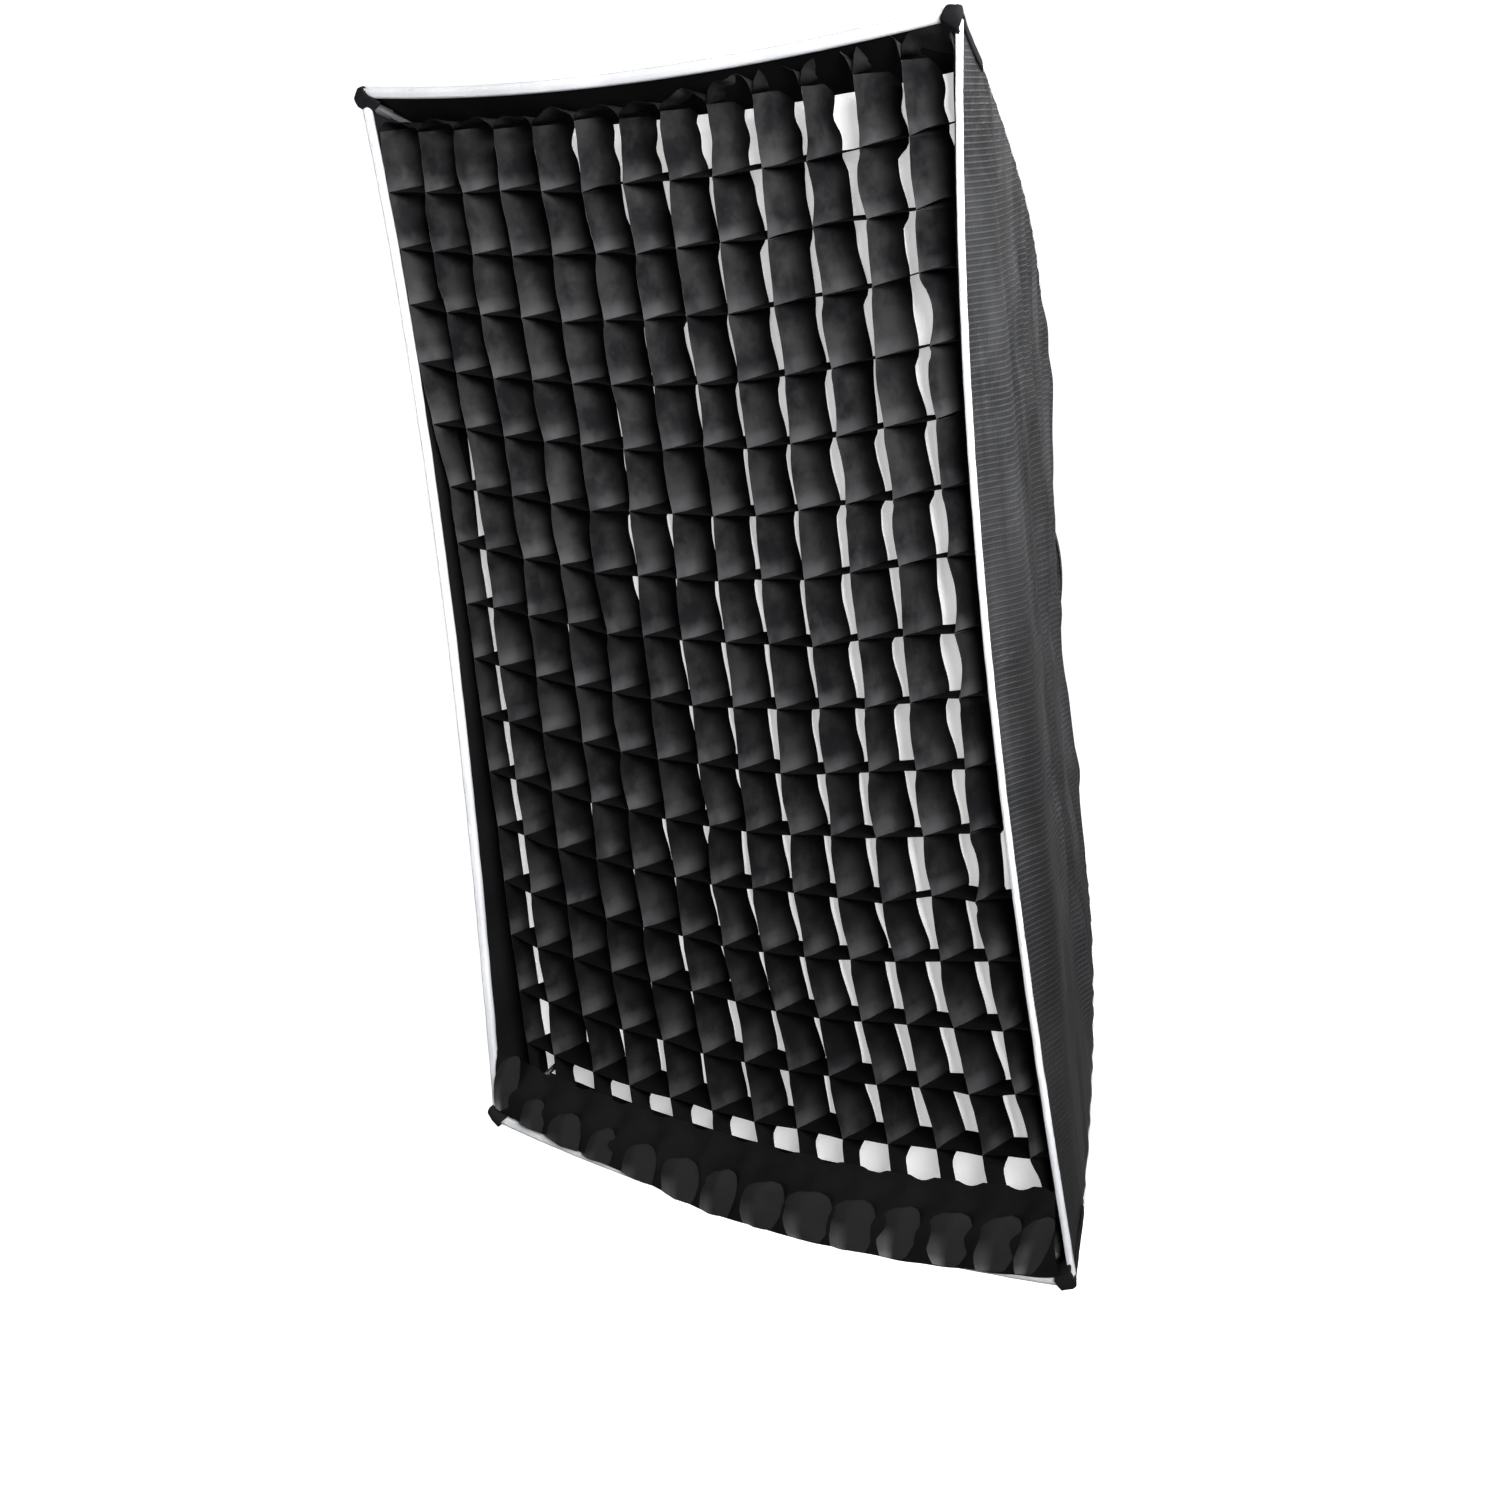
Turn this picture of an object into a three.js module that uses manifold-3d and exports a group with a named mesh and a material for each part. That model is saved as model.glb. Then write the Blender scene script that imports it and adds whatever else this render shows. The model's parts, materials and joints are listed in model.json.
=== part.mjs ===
// Folding softbox, 600 x 900 mm, with an egg-crate grid and a quick-release speed ring.
// Millimetres, +Z up. The bayonet axis runs along Y, the lit face looks towards -Y, and the
// origin is the centre of the bayonet's rear plane, so the whole softbox lies at y <= 0.
import * as THREE from 'three';
import Module from 'manifold-3d';
import { mergeVertices } from 'three/addons/utils/BufferGeometryUtils.js';

const wasm = await Module();
wasm.setup();

// ---- Driving dimensions -------------------------------------------------------------------
const FRONT_WIDTH = 600;            // across the rim, along X
const FRONT_HEIGHT = 900;           // along Z
const RIM_Y = -384.7;               // front edge of the shell
const GAP = 0.35;                   // clearance between neighbouring pieces

const APERTURE_R = 49;              // clear hole for the light
const BAYONET_R = 52;               // outside of the bayonet collar
const LUG_R = 58;                   // tips of the three bayonet lugs
const LUG_THICKNESS = 4.5;
const FLANGE_R = 64;
const FLANGE_Y = [-20, -14];        // front and rear faces of the flange
const JOURNAL_R = 55.7;             // sleeve that the hub turns on
const HUB_BORE_R = 56;
const HUB_R = 82;
const HUB_REAR_Y = -22;
const HUB_FRONT_Y = -52;

const PIN_RHO = 71;                 // rod hinges: distance from the axis, and depth
const PIN_Y = -43.5;
const PIN_R = 2;
const HOLDER_WIDTH = 12.4;
const HOLDER_R = 6.5;
const HOLDER_END = 94;
const SLOT_FLOOR_Y = -36;
const ROD_R = 2.5;

const BUTTON_RHO = 72;
const BUTTON_R = 5.5;
const BUTTON_FLOOR_Y = -34.5;
const BUTTON_FRONT_Y = -28.5;       // the spring presses here
const BUTTON_REAR_Y = -16.5;

const LEVER_RHO = 73;               // cam lever that locks the hub's rotation

// Bezier control points, as (distance from the axis, y), in the plane through the axis and a corner
const CORNER_RHO = Math.hypot(FRONT_WIDTH, FRONT_HEIGHT) / 2;
const SEAM = [[86.6, -22], [270, -40], [CORNER_RHO, RIM_Y]];
const NECK_BLEND = 0.2;             // share of the seam over which the round neck turns rectangular
const SEAM_INSIDE = [[86.6, -24.2], [268.3, -42.2], [CORNER_RHO - 2.9, RIM_Y]];
const ROD_LINE = [[82, PIN_Y + 0.3], [264, -48.5], [521, -377]];

const BAFFLE_Y = -190;
const BAFFLE_RHO = 270;             // distance from the axis to a baffle corner
const DIFFUSER_Y = -340;

const GRID_COLUMNS = 13;
const GRID_ROWS = 18;
const GRID_FRONT_Y = -384.6;
const GRID_REAR_Y = -348;
const GRID_HALF_WIDTH = 295;
const GRID_TOP = 421;
const GRID_BOTTOM = -443;
const SLAT = 1.6;
const BINDING = 1.3;                // thickness of the folded tape round the rim
const TAPE = 1;
const SHEET = 1.2;                  // baffle, diffuser and baffle straps
const RING_SEGMENTS = 36;           // facets of the speed ring's round parts

const UX = FRONT_WIDTH / 2 / CORNER_RHO;
const UZ = FRONT_HEIGHT / 2 / CORNER_RHO;
const CORNER_ANGLE = Math.atan2(UZ, UX);
const CORNERS = [
  { name: 'top_right', angle: CORNER_ANGLE, sx: 1, sz: 1 },
  { name: 'top_left', angle: Math.PI - CORNER_ANGLE, sx: -1, sz: 1 },
  { name: 'bottom_left', angle: Math.PI + CORNER_ANGLE, sx: -1, sz: -1 },
  { name: 'bottom_right', angle: -CORNER_ANGLE, sx: 1, sz: -1 },
];
const SIDES = ['right', 'top', 'left', 'bottom'];

// ---- Materials ----------------------------------------------------------------------------
const material = (color, roughness, metalness = 0) =>
  new THREE.MeshStandardMaterial({ color, roughness, metalness });
const MATERIALS = {
  shell: material(0x24262a, 0.75),
  binding: material(0xe9ebee, 0.7),
  grid: material(0x101113, 0.6),
  diffuser: material(0xf1f1ee, 0.85),
  tape: material(0x0c0c0d, 0.95),
  plastic: material(0x16171a, 0.5),
  button: material(0xb5342c, 0.45),
  aluminium: material(0xb9bcc1, 0.35, 1),
  steel: material(0x9fa3a8, 0.3, 1),
  rod: material(0x3a3c40, 0.4, 0.4),
};

const softbox = new THREE.Group();

function addMesh(name, geometry, materialName, parent = softbox) {
  const mesh = new THREE.Mesh(geometry, MATERIALS[materialName]);
  mesh.name = name;
  parent.add(mesh);
  return mesh;
}

// ---- Geometry helpers ---------------------------------------------------------------------
function toSolid(geometry) {
  const bare = geometry.clone();
  bare.deleteAttribute('normal');
  bare.deleteAttribute('uv');
  const merged = mergeVertices(bare, 1e-4);
  return new wasm.Manifold(new wasm.Mesh({
    numProp: 3,
    vertProperties: new Float32Array(merged.attributes.position.array),
    triVerts: new Uint32Array(merged.index.array),
  }));
}

function toGeometry(solid) {
  const mesh = solid.getMesh();
  const geometry = new THREE.BufferGeometry();
  geometry.setAttribute('position', new THREE.BufferAttribute(mesh.vertProperties, 3));
  geometry.setIndex(new THREE.BufferAttribute(mesh.triVerts, 1));
  geometry.computeVertexNormals();
  return geometry;
}

const subtractAll = (solid, cutters) => cutters.reduce((left, cutter) => left.subtract(cutter), solid);

// A box given by its lowest and highest corners
function box(low, high) {
  const size = high.map((value, axis) => value - low[axis]);
  const geometry = new THREE.BoxGeometry(...size);
  return geometry.translate(...high.map((value, axis) => (value + low[axis]) / 2));
}

// A ring about Y, from a closed section of [radius, y] points
function ring(section) {
  const points = [...section, section[0]].map(([r, y]) => new THREE.Vector2(r, y));
  return new THREE.LatheGeometry(points, RING_SEGMENTS);
}

function ringSection(inner, outer, low, high) {
  return [[inner, low], [outer, low], [outer, high], [inner, high]];
}

// A solid rod about Y
function cylinder(radius, low, high, x = 0, z = 0, segments = 16) {
  const geometry = new THREE.CylinderGeometry(radius, radius, high - low, segments);
  return geometry.translate(x, (low + high) / 2, z);
}

// Closes a set of equal rings of points into one solid
function loft(sections) {
  const count = sections[0].length;
  const positions = sections.flat(2);
  const index = [];
  for (let s = 0; s < sections.length - 1; s += 1) {
    for (let i = 0; i < count; i += 1) {
      const a = s * count + i;
      const b = s * count + (i + 1) % count;
      index.push(a, b, b + count, a, b + count, a + count);
    }
  }
  // Cap triangles that run the same way round as the section itself
  const cap = (section) => {
    const points = section.map(([x, , z]) => new THREE.Vector2(x, z));
    const triangles = THREE.ShapeUtils.triangulateShape(points, []);
    const first = triangles[0].map((k) => points[k]);
    const sameWay = THREE.ShapeUtils.area(first) * THREE.ShapeUtils.area(points) > 0;
    return sameWay ? triangles : triangles.map(([a, b, c]) => [a, c, b]);
  };
  const last = (sections.length - 1) * count;
  cap(sections[0]).forEach(([a, b, c]) => index.push(a, c, b));
  cap(sections.at(-1)).forEach(([a, b, c]) => index.push(last + a, last + b, last + c));
  return closed(positions, index);
}

// Turns the faces outwards if the enclosed volume comes out negative
function closed(positions, index) {
  let volume = 0;
  const corner = [0, 1, 2].map(() => new THREE.Vector3());
  for (let i = 0; i < index.length; i += 3) {
    corner.forEach((vector, k) => vector.fromArray(positions, 3 * index[i + k]));
    volume += corner[0].dot(corner[1].clone().cross(corner[2]));
  }
  if (volume < 0) {
    for (let i = 0; i < index.length; i += 3) {
      [index[i], index[i + 1]] = [index[i + 1], index[i]];
    }
  }
  const geometry = new THREE.BufferGeometry();
  geometry.setAttribute('position', new THREE.Float32BufferAttribute(positions, 3));
  geometry.setIndex(index);
  geometry.computeVertexNormals();
  return geometry;
}

// A wall between an outer and an inner surface, both given as functions of (t, u) in 0..1
function wall(outer, inner, rows, columns) {
  const positions = [];
  const at = (side, i, j) => (side * (rows + 1) + i) * (columns + 1) + j;
  [outer, inner].forEach((surface) => {
    for (let i = 0; i <= rows; i += 1) {
      for (let j = 0; j <= columns; j += 1) {
        positions.push(...surface(i / rows, j / columns));
      }
    }
  });
  const index = [];
  const quad = (a, b, c, d) => index.push(a, b, c, a, c, d);
  for (let i = 0; i < rows; i += 1) {
    for (let j = 0; j < columns; j += 1) {
      quad(at(0, i, j), at(0, i, j + 1), at(0, i + 1, j + 1), at(0, i + 1, j));
      quad(at(1, i, j), at(1, i + 1, j), at(1, i + 1, j + 1), at(1, i, j + 1));
    }
    quad(at(0, i, 0), at(0, i + 1, 0), at(1, i + 1, 0), at(1, i, 0));
    quad(at(0, i + 1, columns), at(0, i, columns), at(1, i, columns), at(1, i + 1, columns));
  }
  for (let j = 0; j < columns; j += 1) {
    quad(at(0, 0, j + 1), at(0, 0, j), at(1, 0, j), at(1, 0, j + 1));
    quad(at(0, rows, j), at(0, rows, j + 1), at(1, rows, j + 1), at(1, rows, j));
  }
  return closed(positions, index);
}

function bezier([a, b, c], t) {
  const s = 1 - t;
  return [0, 1].map((k) => s * s * a[k] + 2 * s * t * b[k] + t * t * c[k]);
}

// The parameter of a Bezier line at a given y
function parameterAt(line, y) {
  let low = 0;
  let high = 1;
  for (let step = 0; step < 40; step += 1) {
    const middle = (low + high) / 2;
    if (bezier(line, middle)[1] > y) low = middle;
    else high = middle;
  }
  return low;
}

const smoothstep = (value) => {
  const t = Math.min(Math.max(value, 0), 1);
  return t * t * (3 - 2 * t);
};

// ---- Speed ring ---------------------------------------------------------------------------
const SCREW_RHO = 52.4;
const SCREW_ANGLES = [0, 1, 2].map((k) => Math.PI / 2 + k * 2 * Math.PI / 3);

function lug(angle) {
  const half = THREE.MathUtils.degToRad(20);
  const shape = new THREE.Shape();
  shape.absarc(0, 0, LUG_R, angle - half, angle + half, false);
  shape.absarc(0, 0, BAYONET_R - 1, angle + half, angle - half, true);
  const options = { depth: LUG_THICKNESS, bevelEnabled: false, curveSegments: 8 };
  return new THREE.ExtrudeGeometry(shape, options).rotateX(Math.PI / 2);
}

function makeBayonetRing() {
  const profile = [
    [APERTURE_R, HUB_FRONT_Y], [JOURNAL_R, HUB_FRONT_Y],
    [JOURNAL_R, FLANGE_Y[0]], [FLANGE_R, FLANGE_Y[0]],
    [FLANGE_R, FLANGE_Y[1]], [BAYONET_R, FLANGE_Y[1]],
    [BAYONET_R, 0], [APERTURE_R, 0],
  ];
  let solid = toSolid(ring(profile));
  SCREW_ANGLES.forEach((angle) => {
    solid = solid.add(toSolid(lug(angle + Math.PI / 3)));
    const [x, z] = [SCREW_RHO * Math.cos(angle), SCREW_RHO * Math.sin(angle)];
    solid = solid.subtract(toSolid(cylinder(1.75, HUB_FRONT_Y - 1, -38, x, z, 12)));
  });
  const lockPinSlot = toSolid(box([BAYONET_R - 6, -10, -4], [BAYONET_R + 2, -5, 4]));
  addMesh('bayonet_ring', toGeometry(solid.subtract(lockPinSlot)), 'aluminium');
}

function makeRetainingRing() {
  const low = HUB_FRONT_Y - 4.5;
  const holes = SCREW_ANGLES.map((angle) => toSolid(cylinder(
    1.85, low - 1, HUB_FRONT_Y, SCREW_RHO * Math.cos(angle), SCREW_RHO * Math.sin(angle), 12)));
  const plate = toSolid(ring(ringSection(APERTURE_R, 65, low, HUB_FRONT_Y - GAP)));
  addMesh('retaining_ring', toGeometry(subtractAll(plate, holes)), 'aluminium');
  SCREW_ANGLES.forEach((angle, k) => {
    const screw = new THREE.LatheGeometry([
      [0, low - 2.6], [2.9, low - 2.6], [2.9, low - GAP], [1.4, low - GAP], [1.4, -40], [0, -40],
    ].map(([r, y]) => new THREE.Vector2(r, y)), 12);
    const mesh = addMesh(`retaining_screw_${k + 1}`, screw, 'steel');
    mesh.position.set(SCREW_RHO * Math.cos(angle), 0, SCREW_RHO * Math.sin(angle));
  });
}

function makeFrictionWasher() {
  addMesh('friction_washer', ring(ringSection(56.3, 63.4, -21.65, -20.35)), 'plastic');
}

// ---- Hub ----------------------------------------------------------------------------------
// Work along local X, then turn it to the corner's angle about Y
const turned = (geometry, angle) => geometry.rotateY(-angle);

function makeHubHousing() {
  const cutters = [];
  CORNERS.forEach(({ angle }) => {
    const half = HOLDER_WIDTH / 2 + GAP;
    cutters.push(turned(box([62, HUB_FRONT_Y - 1, -half], [HUB_R + 5, SLOT_FLOOR_Y, half]), angle));
    const pinHole = new THREE.CylinderGeometry(PIN_R + GAP, PIN_R + GAP, 24.6, 16);
    cutters.push(turned(pinHole.rotateX(Math.PI / 2).translate(PIN_RHO, PIN_Y, 0), angle));
    cutters.push(turned(cylinder(BUTTON_R + GAP, BUTTON_FLOOR_Y, HUB_REAR_Y + 1, BUTTON_RHO), angle));
  });
  cutters.push(cylinder(1.9, -42, HUB_REAR_Y + 1, LEVER_RHO));
  const body = toSolid(ring(ringSection(HUB_BORE_R, HUB_R, HUB_FRONT_Y, HUB_REAR_Y)));
  addMesh('hub_housing', toGeometry(subtractAll(body, cutters.map(toSolid))), 'plastic');
  addMesh('neck_collar', ring(ringSection(HUB_R + GAP, HUB_R + 2.2, -34, HUB_REAR_Y - 1)), 'tape');
}

function makeLockLever() {
  const bodyLow = HUB_REAR_Y + GAP;
  const bodyHigh = -16;
  const cam = toSolid(cylinder(8, bodyLow, bodyHigh, LEVER_RHO + 0.6, 0, 24));
  const tab = toSolid(box([LEVER_RHO - 3, bodyLow, 4], [LEVER_RHO + 5, bodyHigh, 27]));
  const hole = toSolid(cylinder(2.35, bodyLow - 1, bodyHigh + 1, LEVER_RHO));
  addMesh('lock_lever', toGeometry(cam.add(tab).subtract(hole)), 'aluminium');
  const pivotScrew = new THREE.LatheGeometry([
    [0, -40], [1.5, -40], [1.5, -21.6], [2, -21.2], [2, bodyHigh + GAP], [4.2, bodyHigh + GAP],
    [4.2, bodyHigh + 1.6], [0, bodyHigh + 1.6],
  ].map(([r, y]) => new THREE.Vector2(r, y)), 12);
  addMesh('lock_lever_screw', pivotScrew, 'steel').position.set(LEVER_RHO, 0, 0);
}

// ---- One rod with its hinge, latch and corner pocket ---------------------------------------
function makeRodHolder() {
  const shape = new THREE.Shape();
  shape.moveTo(HOLDER_END, PIN_Y - HOLDER_R);
  shape.lineTo(HOLDER_END, PIN_Y + HOLDER_R);
  shape.lineTo(PIN_RHO, PIN_Y + HOLDER_R);
  shape.absarc(PIN_RHO, PIN_Y, HOLDER_R, Math.PI / 2, 3 * Math.PI / 2, false);
  const options = { depth: HOLDER_WIDTH, bevelEnabled: false, curveSegments: 10 };
  const block = new THREE.ExtrudeGeometry(shape, options);
  const bore = new THREE.CylinderGeometry(ROD_R + 1.3, ROD_R + 1.3, 20, 12);
  const pinHole = new THREE.CylinderGeometry(PIN_R + GAP, PIN_R + GAP, 20, 16);
  return toGeometry(subtractAll(toSolid(block.translate(0, 0, -HOLDER_WIDTH / 2)), [
    toSolid(bore.rotateZ(Math.PI / 2).translate(90, PIN_Y, 0)),
    toSolid(pinHole.rotateX(Math.PI / 2).translate(PIN_RHO, PIN_Y, 0)),
  ]));
}

function makeRod() {
  const points = ROD_LINE.map(([rho, y]) => new THREE.Vector3(rho, y, 0));
  const section = new THREE.Shape();
  section.absarc(0, 0, ROD_R, 0, 2 * Math.PI, false);
  const extrudePath = new THREE.QuadraticBezierCurve3(...points);
  return new THREE.ExtrudeGeometry(section, {
    steps: 12, curveSegments: 4, bevelEnabled: false, extrudePath,
  });
}

function makeRodTip() {
  const bore = ROD_R + GAP;
  const cap = new THREE.LatheGeometry([
    [0, 0.6], [bore, 0.6], [bore, -9], [4.2, -9], [4.2, 2], [2.4, 4.5], [0, 4.5],
  ].map(([r, y]) => new THREE.Vector2(r, y)), 12);
  const [, control, end] = ROD_LINE;
  const direction = new THREE.Vector3(end[0] - control[0], end[1] - control[1], 0).normalize();
  cap.applyQuaternion(new THREE.Quaternion().setFromUnitVectors(new THREE.Vector3(0, 1, 0), direction));
  return cap.translate(end[0], end[1], 0);
}

// A cup outside the shell's corner: two slanted flaps and a front patch, in the row's own frame
function makeCornerPocket({ sx, sz }) {
  const reach = 26;
  const thickness = 1.5;
  const start = parameterAt(SEAM, RIM_Y + 46);
  const sections = [0, 1 / 3, 2 / 3, 1].map((part) => {
    const [rho, y] = bezier(SEAM, start + (1 - start) * part);
    const [x, z] = [rho * UX + 0.4, rho * UZ + 0.4];
    return [
      [x + thickness, z + thickness], [x + thickness, z - reach], [x, z - reach],
      [x, z], [x - reach, z], [x - reach, z + thickness],
    ].map(([px, pz]) => [sx * px, y, sz * pz]);
  });
  const [x, z] = [FRONT_WIDTH / 2 + 0.4 + thickness, FRONT_HEIGHT / 2 + 0.4 + thickness];
  const front = sections.at(-1).map(([px, , pz]) => [px, RIM_Y - 1.7, pz]);
  const flaps = toSolid(loft([...sections, front]));
  const low = [Math.min(sx * (x - 18), sx * x), RIM_Y - 1.7, Math.min(sz * (z - 18), sz * z)];
  const high = [Math.max(sx * (x - 18), sx * x), RIM_Y - GAP, Math.max(sz * (z - 18), sz * z)];
  return toGeometry(flaps.add(toSolid(box(low, high))));
}

function makeReleaseButton() {
  const stemY = BUTTON_FRONT_Y - 2.5;
  const bevel = 0.8;
  const points = [
    [0, stemY], [1.5, stemY], [1.5, BUTTON_FRONT_Y], [BUTTON_R, BUTTON_FRONT_Y],
    [BUTTON_R, BUTTON_REAR_Y - bevel], [BUTTON_R - bevel, BUTTON_REAR_Y], [0, BUTTON_REAR_Y],
  ].map(([r, y]) => new THREE.Vector2(r, y));
  return new THREE.LatheGeometry(points, 16).translate(BUTTON_RHO, 0, 0);
}

function makeButtonSpring() {
  const turns = 3;
  const wire = 0.4;
  const coilR = 3.9;
  const [low, high] = [BUTTON_FLOOR_Y + wire + 0.2, BUTTON_FRONT_Y - wire - 0.3];
  class Coil extends THREE.Curve {
    getPoint(t) {
      const angle = 2 * Math.PI * turns * t;
      return new THREE.Vector3(
        BUTTON_RHO + coilR * Math.cos(angle), low + (high - low) * t, coilR * Math.sin(angle));
    }
  }
  const section = new THREE.Shape();
  section.absarc(0, 0, wire, 0, 2 * Math.PI, false);
  return new THREE.ExtrudeGeometry(section, {
    steps: 18, curveSegments: 3, bevelEnabled: false, extrudePath: new Coil(),
  });
}

function makeBaffleStrap() {
  const [inner, outer] = [BAFFLE_RHO + 1, 349];
  return box([inner, BAFFLE_Y - SHEET / 2, -9], [outer, BAFFLE_Y + SHEET / 2, 9]);
}

function makeCornerAssembly(corner) {
  const group = new THREE.Group();
  group.rotation.y = -corner.angle;
  softbox.add(group);
  const pin = new THREE.CylinderGeometry(PIN_R, PIN_R, 24, 16).rotateX(Math.PI / 2);
  addMesh(`hinge_pin_${corner.name}`, pin.translate(PIN_RHO, PIN_Y, 0), 'steel', group);
  addMesh(`rod_holder_${corner.name}`, makeRodHolder(), 'plastic', group);
  addMesh(`rod_${corner.name}`, makeRod(), 'rod', group);
  addMesh(`rod_tip_${corner.name}`, makeRodTip(), 'plastic', group);
  addMesh(`release_button_${corner.name}`, makeReleaseButton(), 'button', group);
  addMesh(`button_spring_${corner.name}`, makeButtonSpring(), 'steel', group);
  addMesh(`baffle_strap_${corner.name}`, makeBaffleStrap(), 'tape', group);
  addMesh(`corner_pocket_${corner.name}`, makeCornerPocket(corner), 'tape');
}

// ---- Shell --------------------------------------------------------------------------------
// A point of one side's surface. At the neck the section is a circle; it opens into a rectangle.
function sidePoint(line, side, t, u, edgeGap = 0.45) {
  const [rho, y] = bezier(line, t);
  const across = side % 2 === 0 ? rho * UZ : rho * UX;
  const away = side % 2 === 0 ? rho * UX : rho * UZ;
  const part = (2 * u - 1) * (1 - edgeGap / across);
  const halfAngle = side % 2 === 0 ? CORNER_ANGLE : Math.PI / 2 - CORNER_ANGLE;
  const toCircle = 1 - smoothstep(t / NECK_BLEND);
  const flat = [away, across * part];
  const round = [rho * Math.cos(halfAngle * part), rho * Math.sin(halfAngle * part)];
  const [a, b] = flat.map((value, k) => value + (round[k] - value) * toCircle);
  const turn = side * Math.PI / 2;
  return [a * Math.cos(turn) - b * Math.sin(turn), y, a * Math.sin(turn) + b * Math.cos(turn)];
}

function makeShellPanels() {
  SIDES.forEach((name, side) => {
    const panel = wall(
      (t, u) => sidePoint(SEAM, side, t, u),
      (t, u) => sidePoint(SEAM_INSIDE, side, t, u),
      12, 6);
    addMesh(`shell_panel_${name}`, panel, 'shell');
  });
}

// Light-coloured tape folded over the rim between two corner pockets
function makeRimBindings() {
  const slopeRho = (SEAM[2][0] - SEAM[1][0]) / (SEAM[1][1] - SEAM[2][1]);
  SIDES.forEach((name, side) => {
    const upright = side % 2 === 0;
    const edge = (upright ? FRONT_WIDTH : FRONT_HEIGHT) / 2 + 0.5;
    const slope = slopeRho * (upright ? UX : UZ);
    const half = (upright ? FRONT_HEIGHT : FRONT_WIDTH) / 2 - 34;
    const frontWidth = upright ? 9.5 : 12.5;
    const frontY = RIM_Y - GAP - BINDING;
    const legDepth = 9;
    const legEnd = edge - legDepth * slope;
    const outline = [
      [edge + BINDING, frontY], [legEnd + BINDING, RIM_Y + legDepth], [legEnd, RIM_Y + legDepth],
      [edge, RIM_Y - GAP], [edge - frontWidth, RIM_Y - GAP], [edge - frontWidth, frontY],
    ];
    const shape = new THREE.Shape(outline.map(([a, b]) => new THREE.Vector2(a, b)));
    const strip = new THREE.ExtrudeGeometry(shape, { depth: 2 * half, bevelEnabled: false });
    strip.translate(0, 0, -half).rotateY(-side * Math.PI / 2);
    addMesh(`rim_binding_${name}`, strip, 'binding');
  });
}

// Hook-and-loop tape sewn round the inside of the mouth, which holds the diffuser and the grid
function makeLoopTapes() {
  SIDES.forEach((name, side) => {
    const upright = side % 2 === 0;
    const point = (offset) => (t, u) => {
      const y = RIM_Y + 1.5 + 50 * t;
      const [rho] = bezier(SEAM_INSIDE, parameterAt(SEAM_INSIDE, y));
      const a = rho * (upright ? UX : UZ) - offset;
      const b = (2 * u - 1) * (upright ? 380 : 232);
      const turn = side * Math.PI / 2;
      return [a * Math.cos(turn) - b * Math.sin(turn), y, a * Math.sin(turn) + b * Math.cos(turn)];
    };
    addMesh(`loop_tape_${name}`, wall(point(0.4), point(0.4 + TAPE), 3, 1), 'tape');
  });
}

// ---- Inner baffle, front diffuser and grid ---------------------------------------------------
function chamferedSheet(halfX, halfZ, chamfer, y) {
  const [cutX, cutZ] = [halfX - chamfer, halfZ - chamfer];
  const shape = new THREE.Shape([
    [halfX, cutZ], [cutX, halfZ], [-cutX, halfZ], [-halfX, cutZ],
    [-halfX, -cutZ], [-cutX, -halfZ], [cutX, -halfZ], [halfX, -cutZ],
  ].map(([x, z]) => new THREE.Vector2(x, z)));
  const sheet = new THREE.ExtrudeGeometry(shape, { depth: SHEET, bevelEnabled: false });
  return sheet.rotateX(Math.PI / 2).translate(0, y + SHEET / 2, 0);
}

function makeSheets() {
  const baffle = chamferedSheet(BAFFLE_RHO * UX, BAFFLE_RHO * UZ, 1, BAFFLE_Y);
  addMesh('inner_baffle', baffle, 'diffuser');
  addMesh('front_diffuser', chamferedSheet(272, 411, 24, DIFFUSER_Y), 'diffuser');
}

// One slab that follows the slanted walls, with a straight cell in every square of the grid
function makeGrid() {
  const front = { x: GRID_HALF_WIDTH, top: GRID_TOP, bottom: GRID_BOTTOM };
  const rear = { x: 277.5, top: 410, bottom: -416 };
  const rectangle = ({ x, top, bottom }, y) => [
    [-x, y, bottom], [x, y, bottom], [x, y, top], [-x, y, top],
  ];
  const border = toSolid(loft([rectangle(rear, GRID_REAR_Y), rectangle(front, GRID_FRONT_Y)]));
  const edges = (low, high, count, limitLow, limitHigh) => Array.from({ length: count + 1 }, (_, k) =>
    THREE.MathUtils.clamp(low + k * (high - low) / count, limitLow, limitHigh));
  const columnEdges = ({ x }) => edges(-GRID_HALF_WIDTH, GRID_HALF_WIDTH, GRID_COLUMNS, -x, x);
  const rowEdges = ({ top, bottom }) => edges(GRID_BOTTOM, GRID_TOP, GRID_ROWS, bottom, top);
  const cells = [];
  for (let i = 0; i < GRID_COLUMNS; i += 1) {
    for (let j = 0; j < GRID_ROWS; j += 1) {
      const section = (limit, y) => {
        const x = columnEdges(limit);
        const z = rowEdges(limit);
        const low = [x[i] + SLAT / 2, z[j] + SLAT / 2];
        const high = [x[i + 1] - SLAT / 2, z[j + 1] - SLAT / 2];
        return [
          [low[0], y, low[1]], [high[0], y, low[1]], [high[0], y, high[1]], [low[0], y, high[1]],
        ];
      };
      cells.push(toSolid(loft([section(rear, GRID_REAR_Y), section(front, GRID_FRONT_Y)])));
    }
  }
  const corners = [[1, 400], [-1, 400], [1, -404], [-1, -404]].map(([sx, z]) => {
    const [xa, xb] = [sx * 258, sx * 310];
    return toSolid(box(
      [Math.min(xa, xb), GRID_FRONT_Y - 5, Math.min(z, Math.sign(z) * 460)],
      [Math.max(xa, xb), GRID_REAR_Y + 5, Math.max(z, Math.sign(z) * 460)]));
  });
  addMesh('egg_crate_grid', toGeometry(subtractAll(border, [...cells, ...corners])), 'grid');
}

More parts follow.
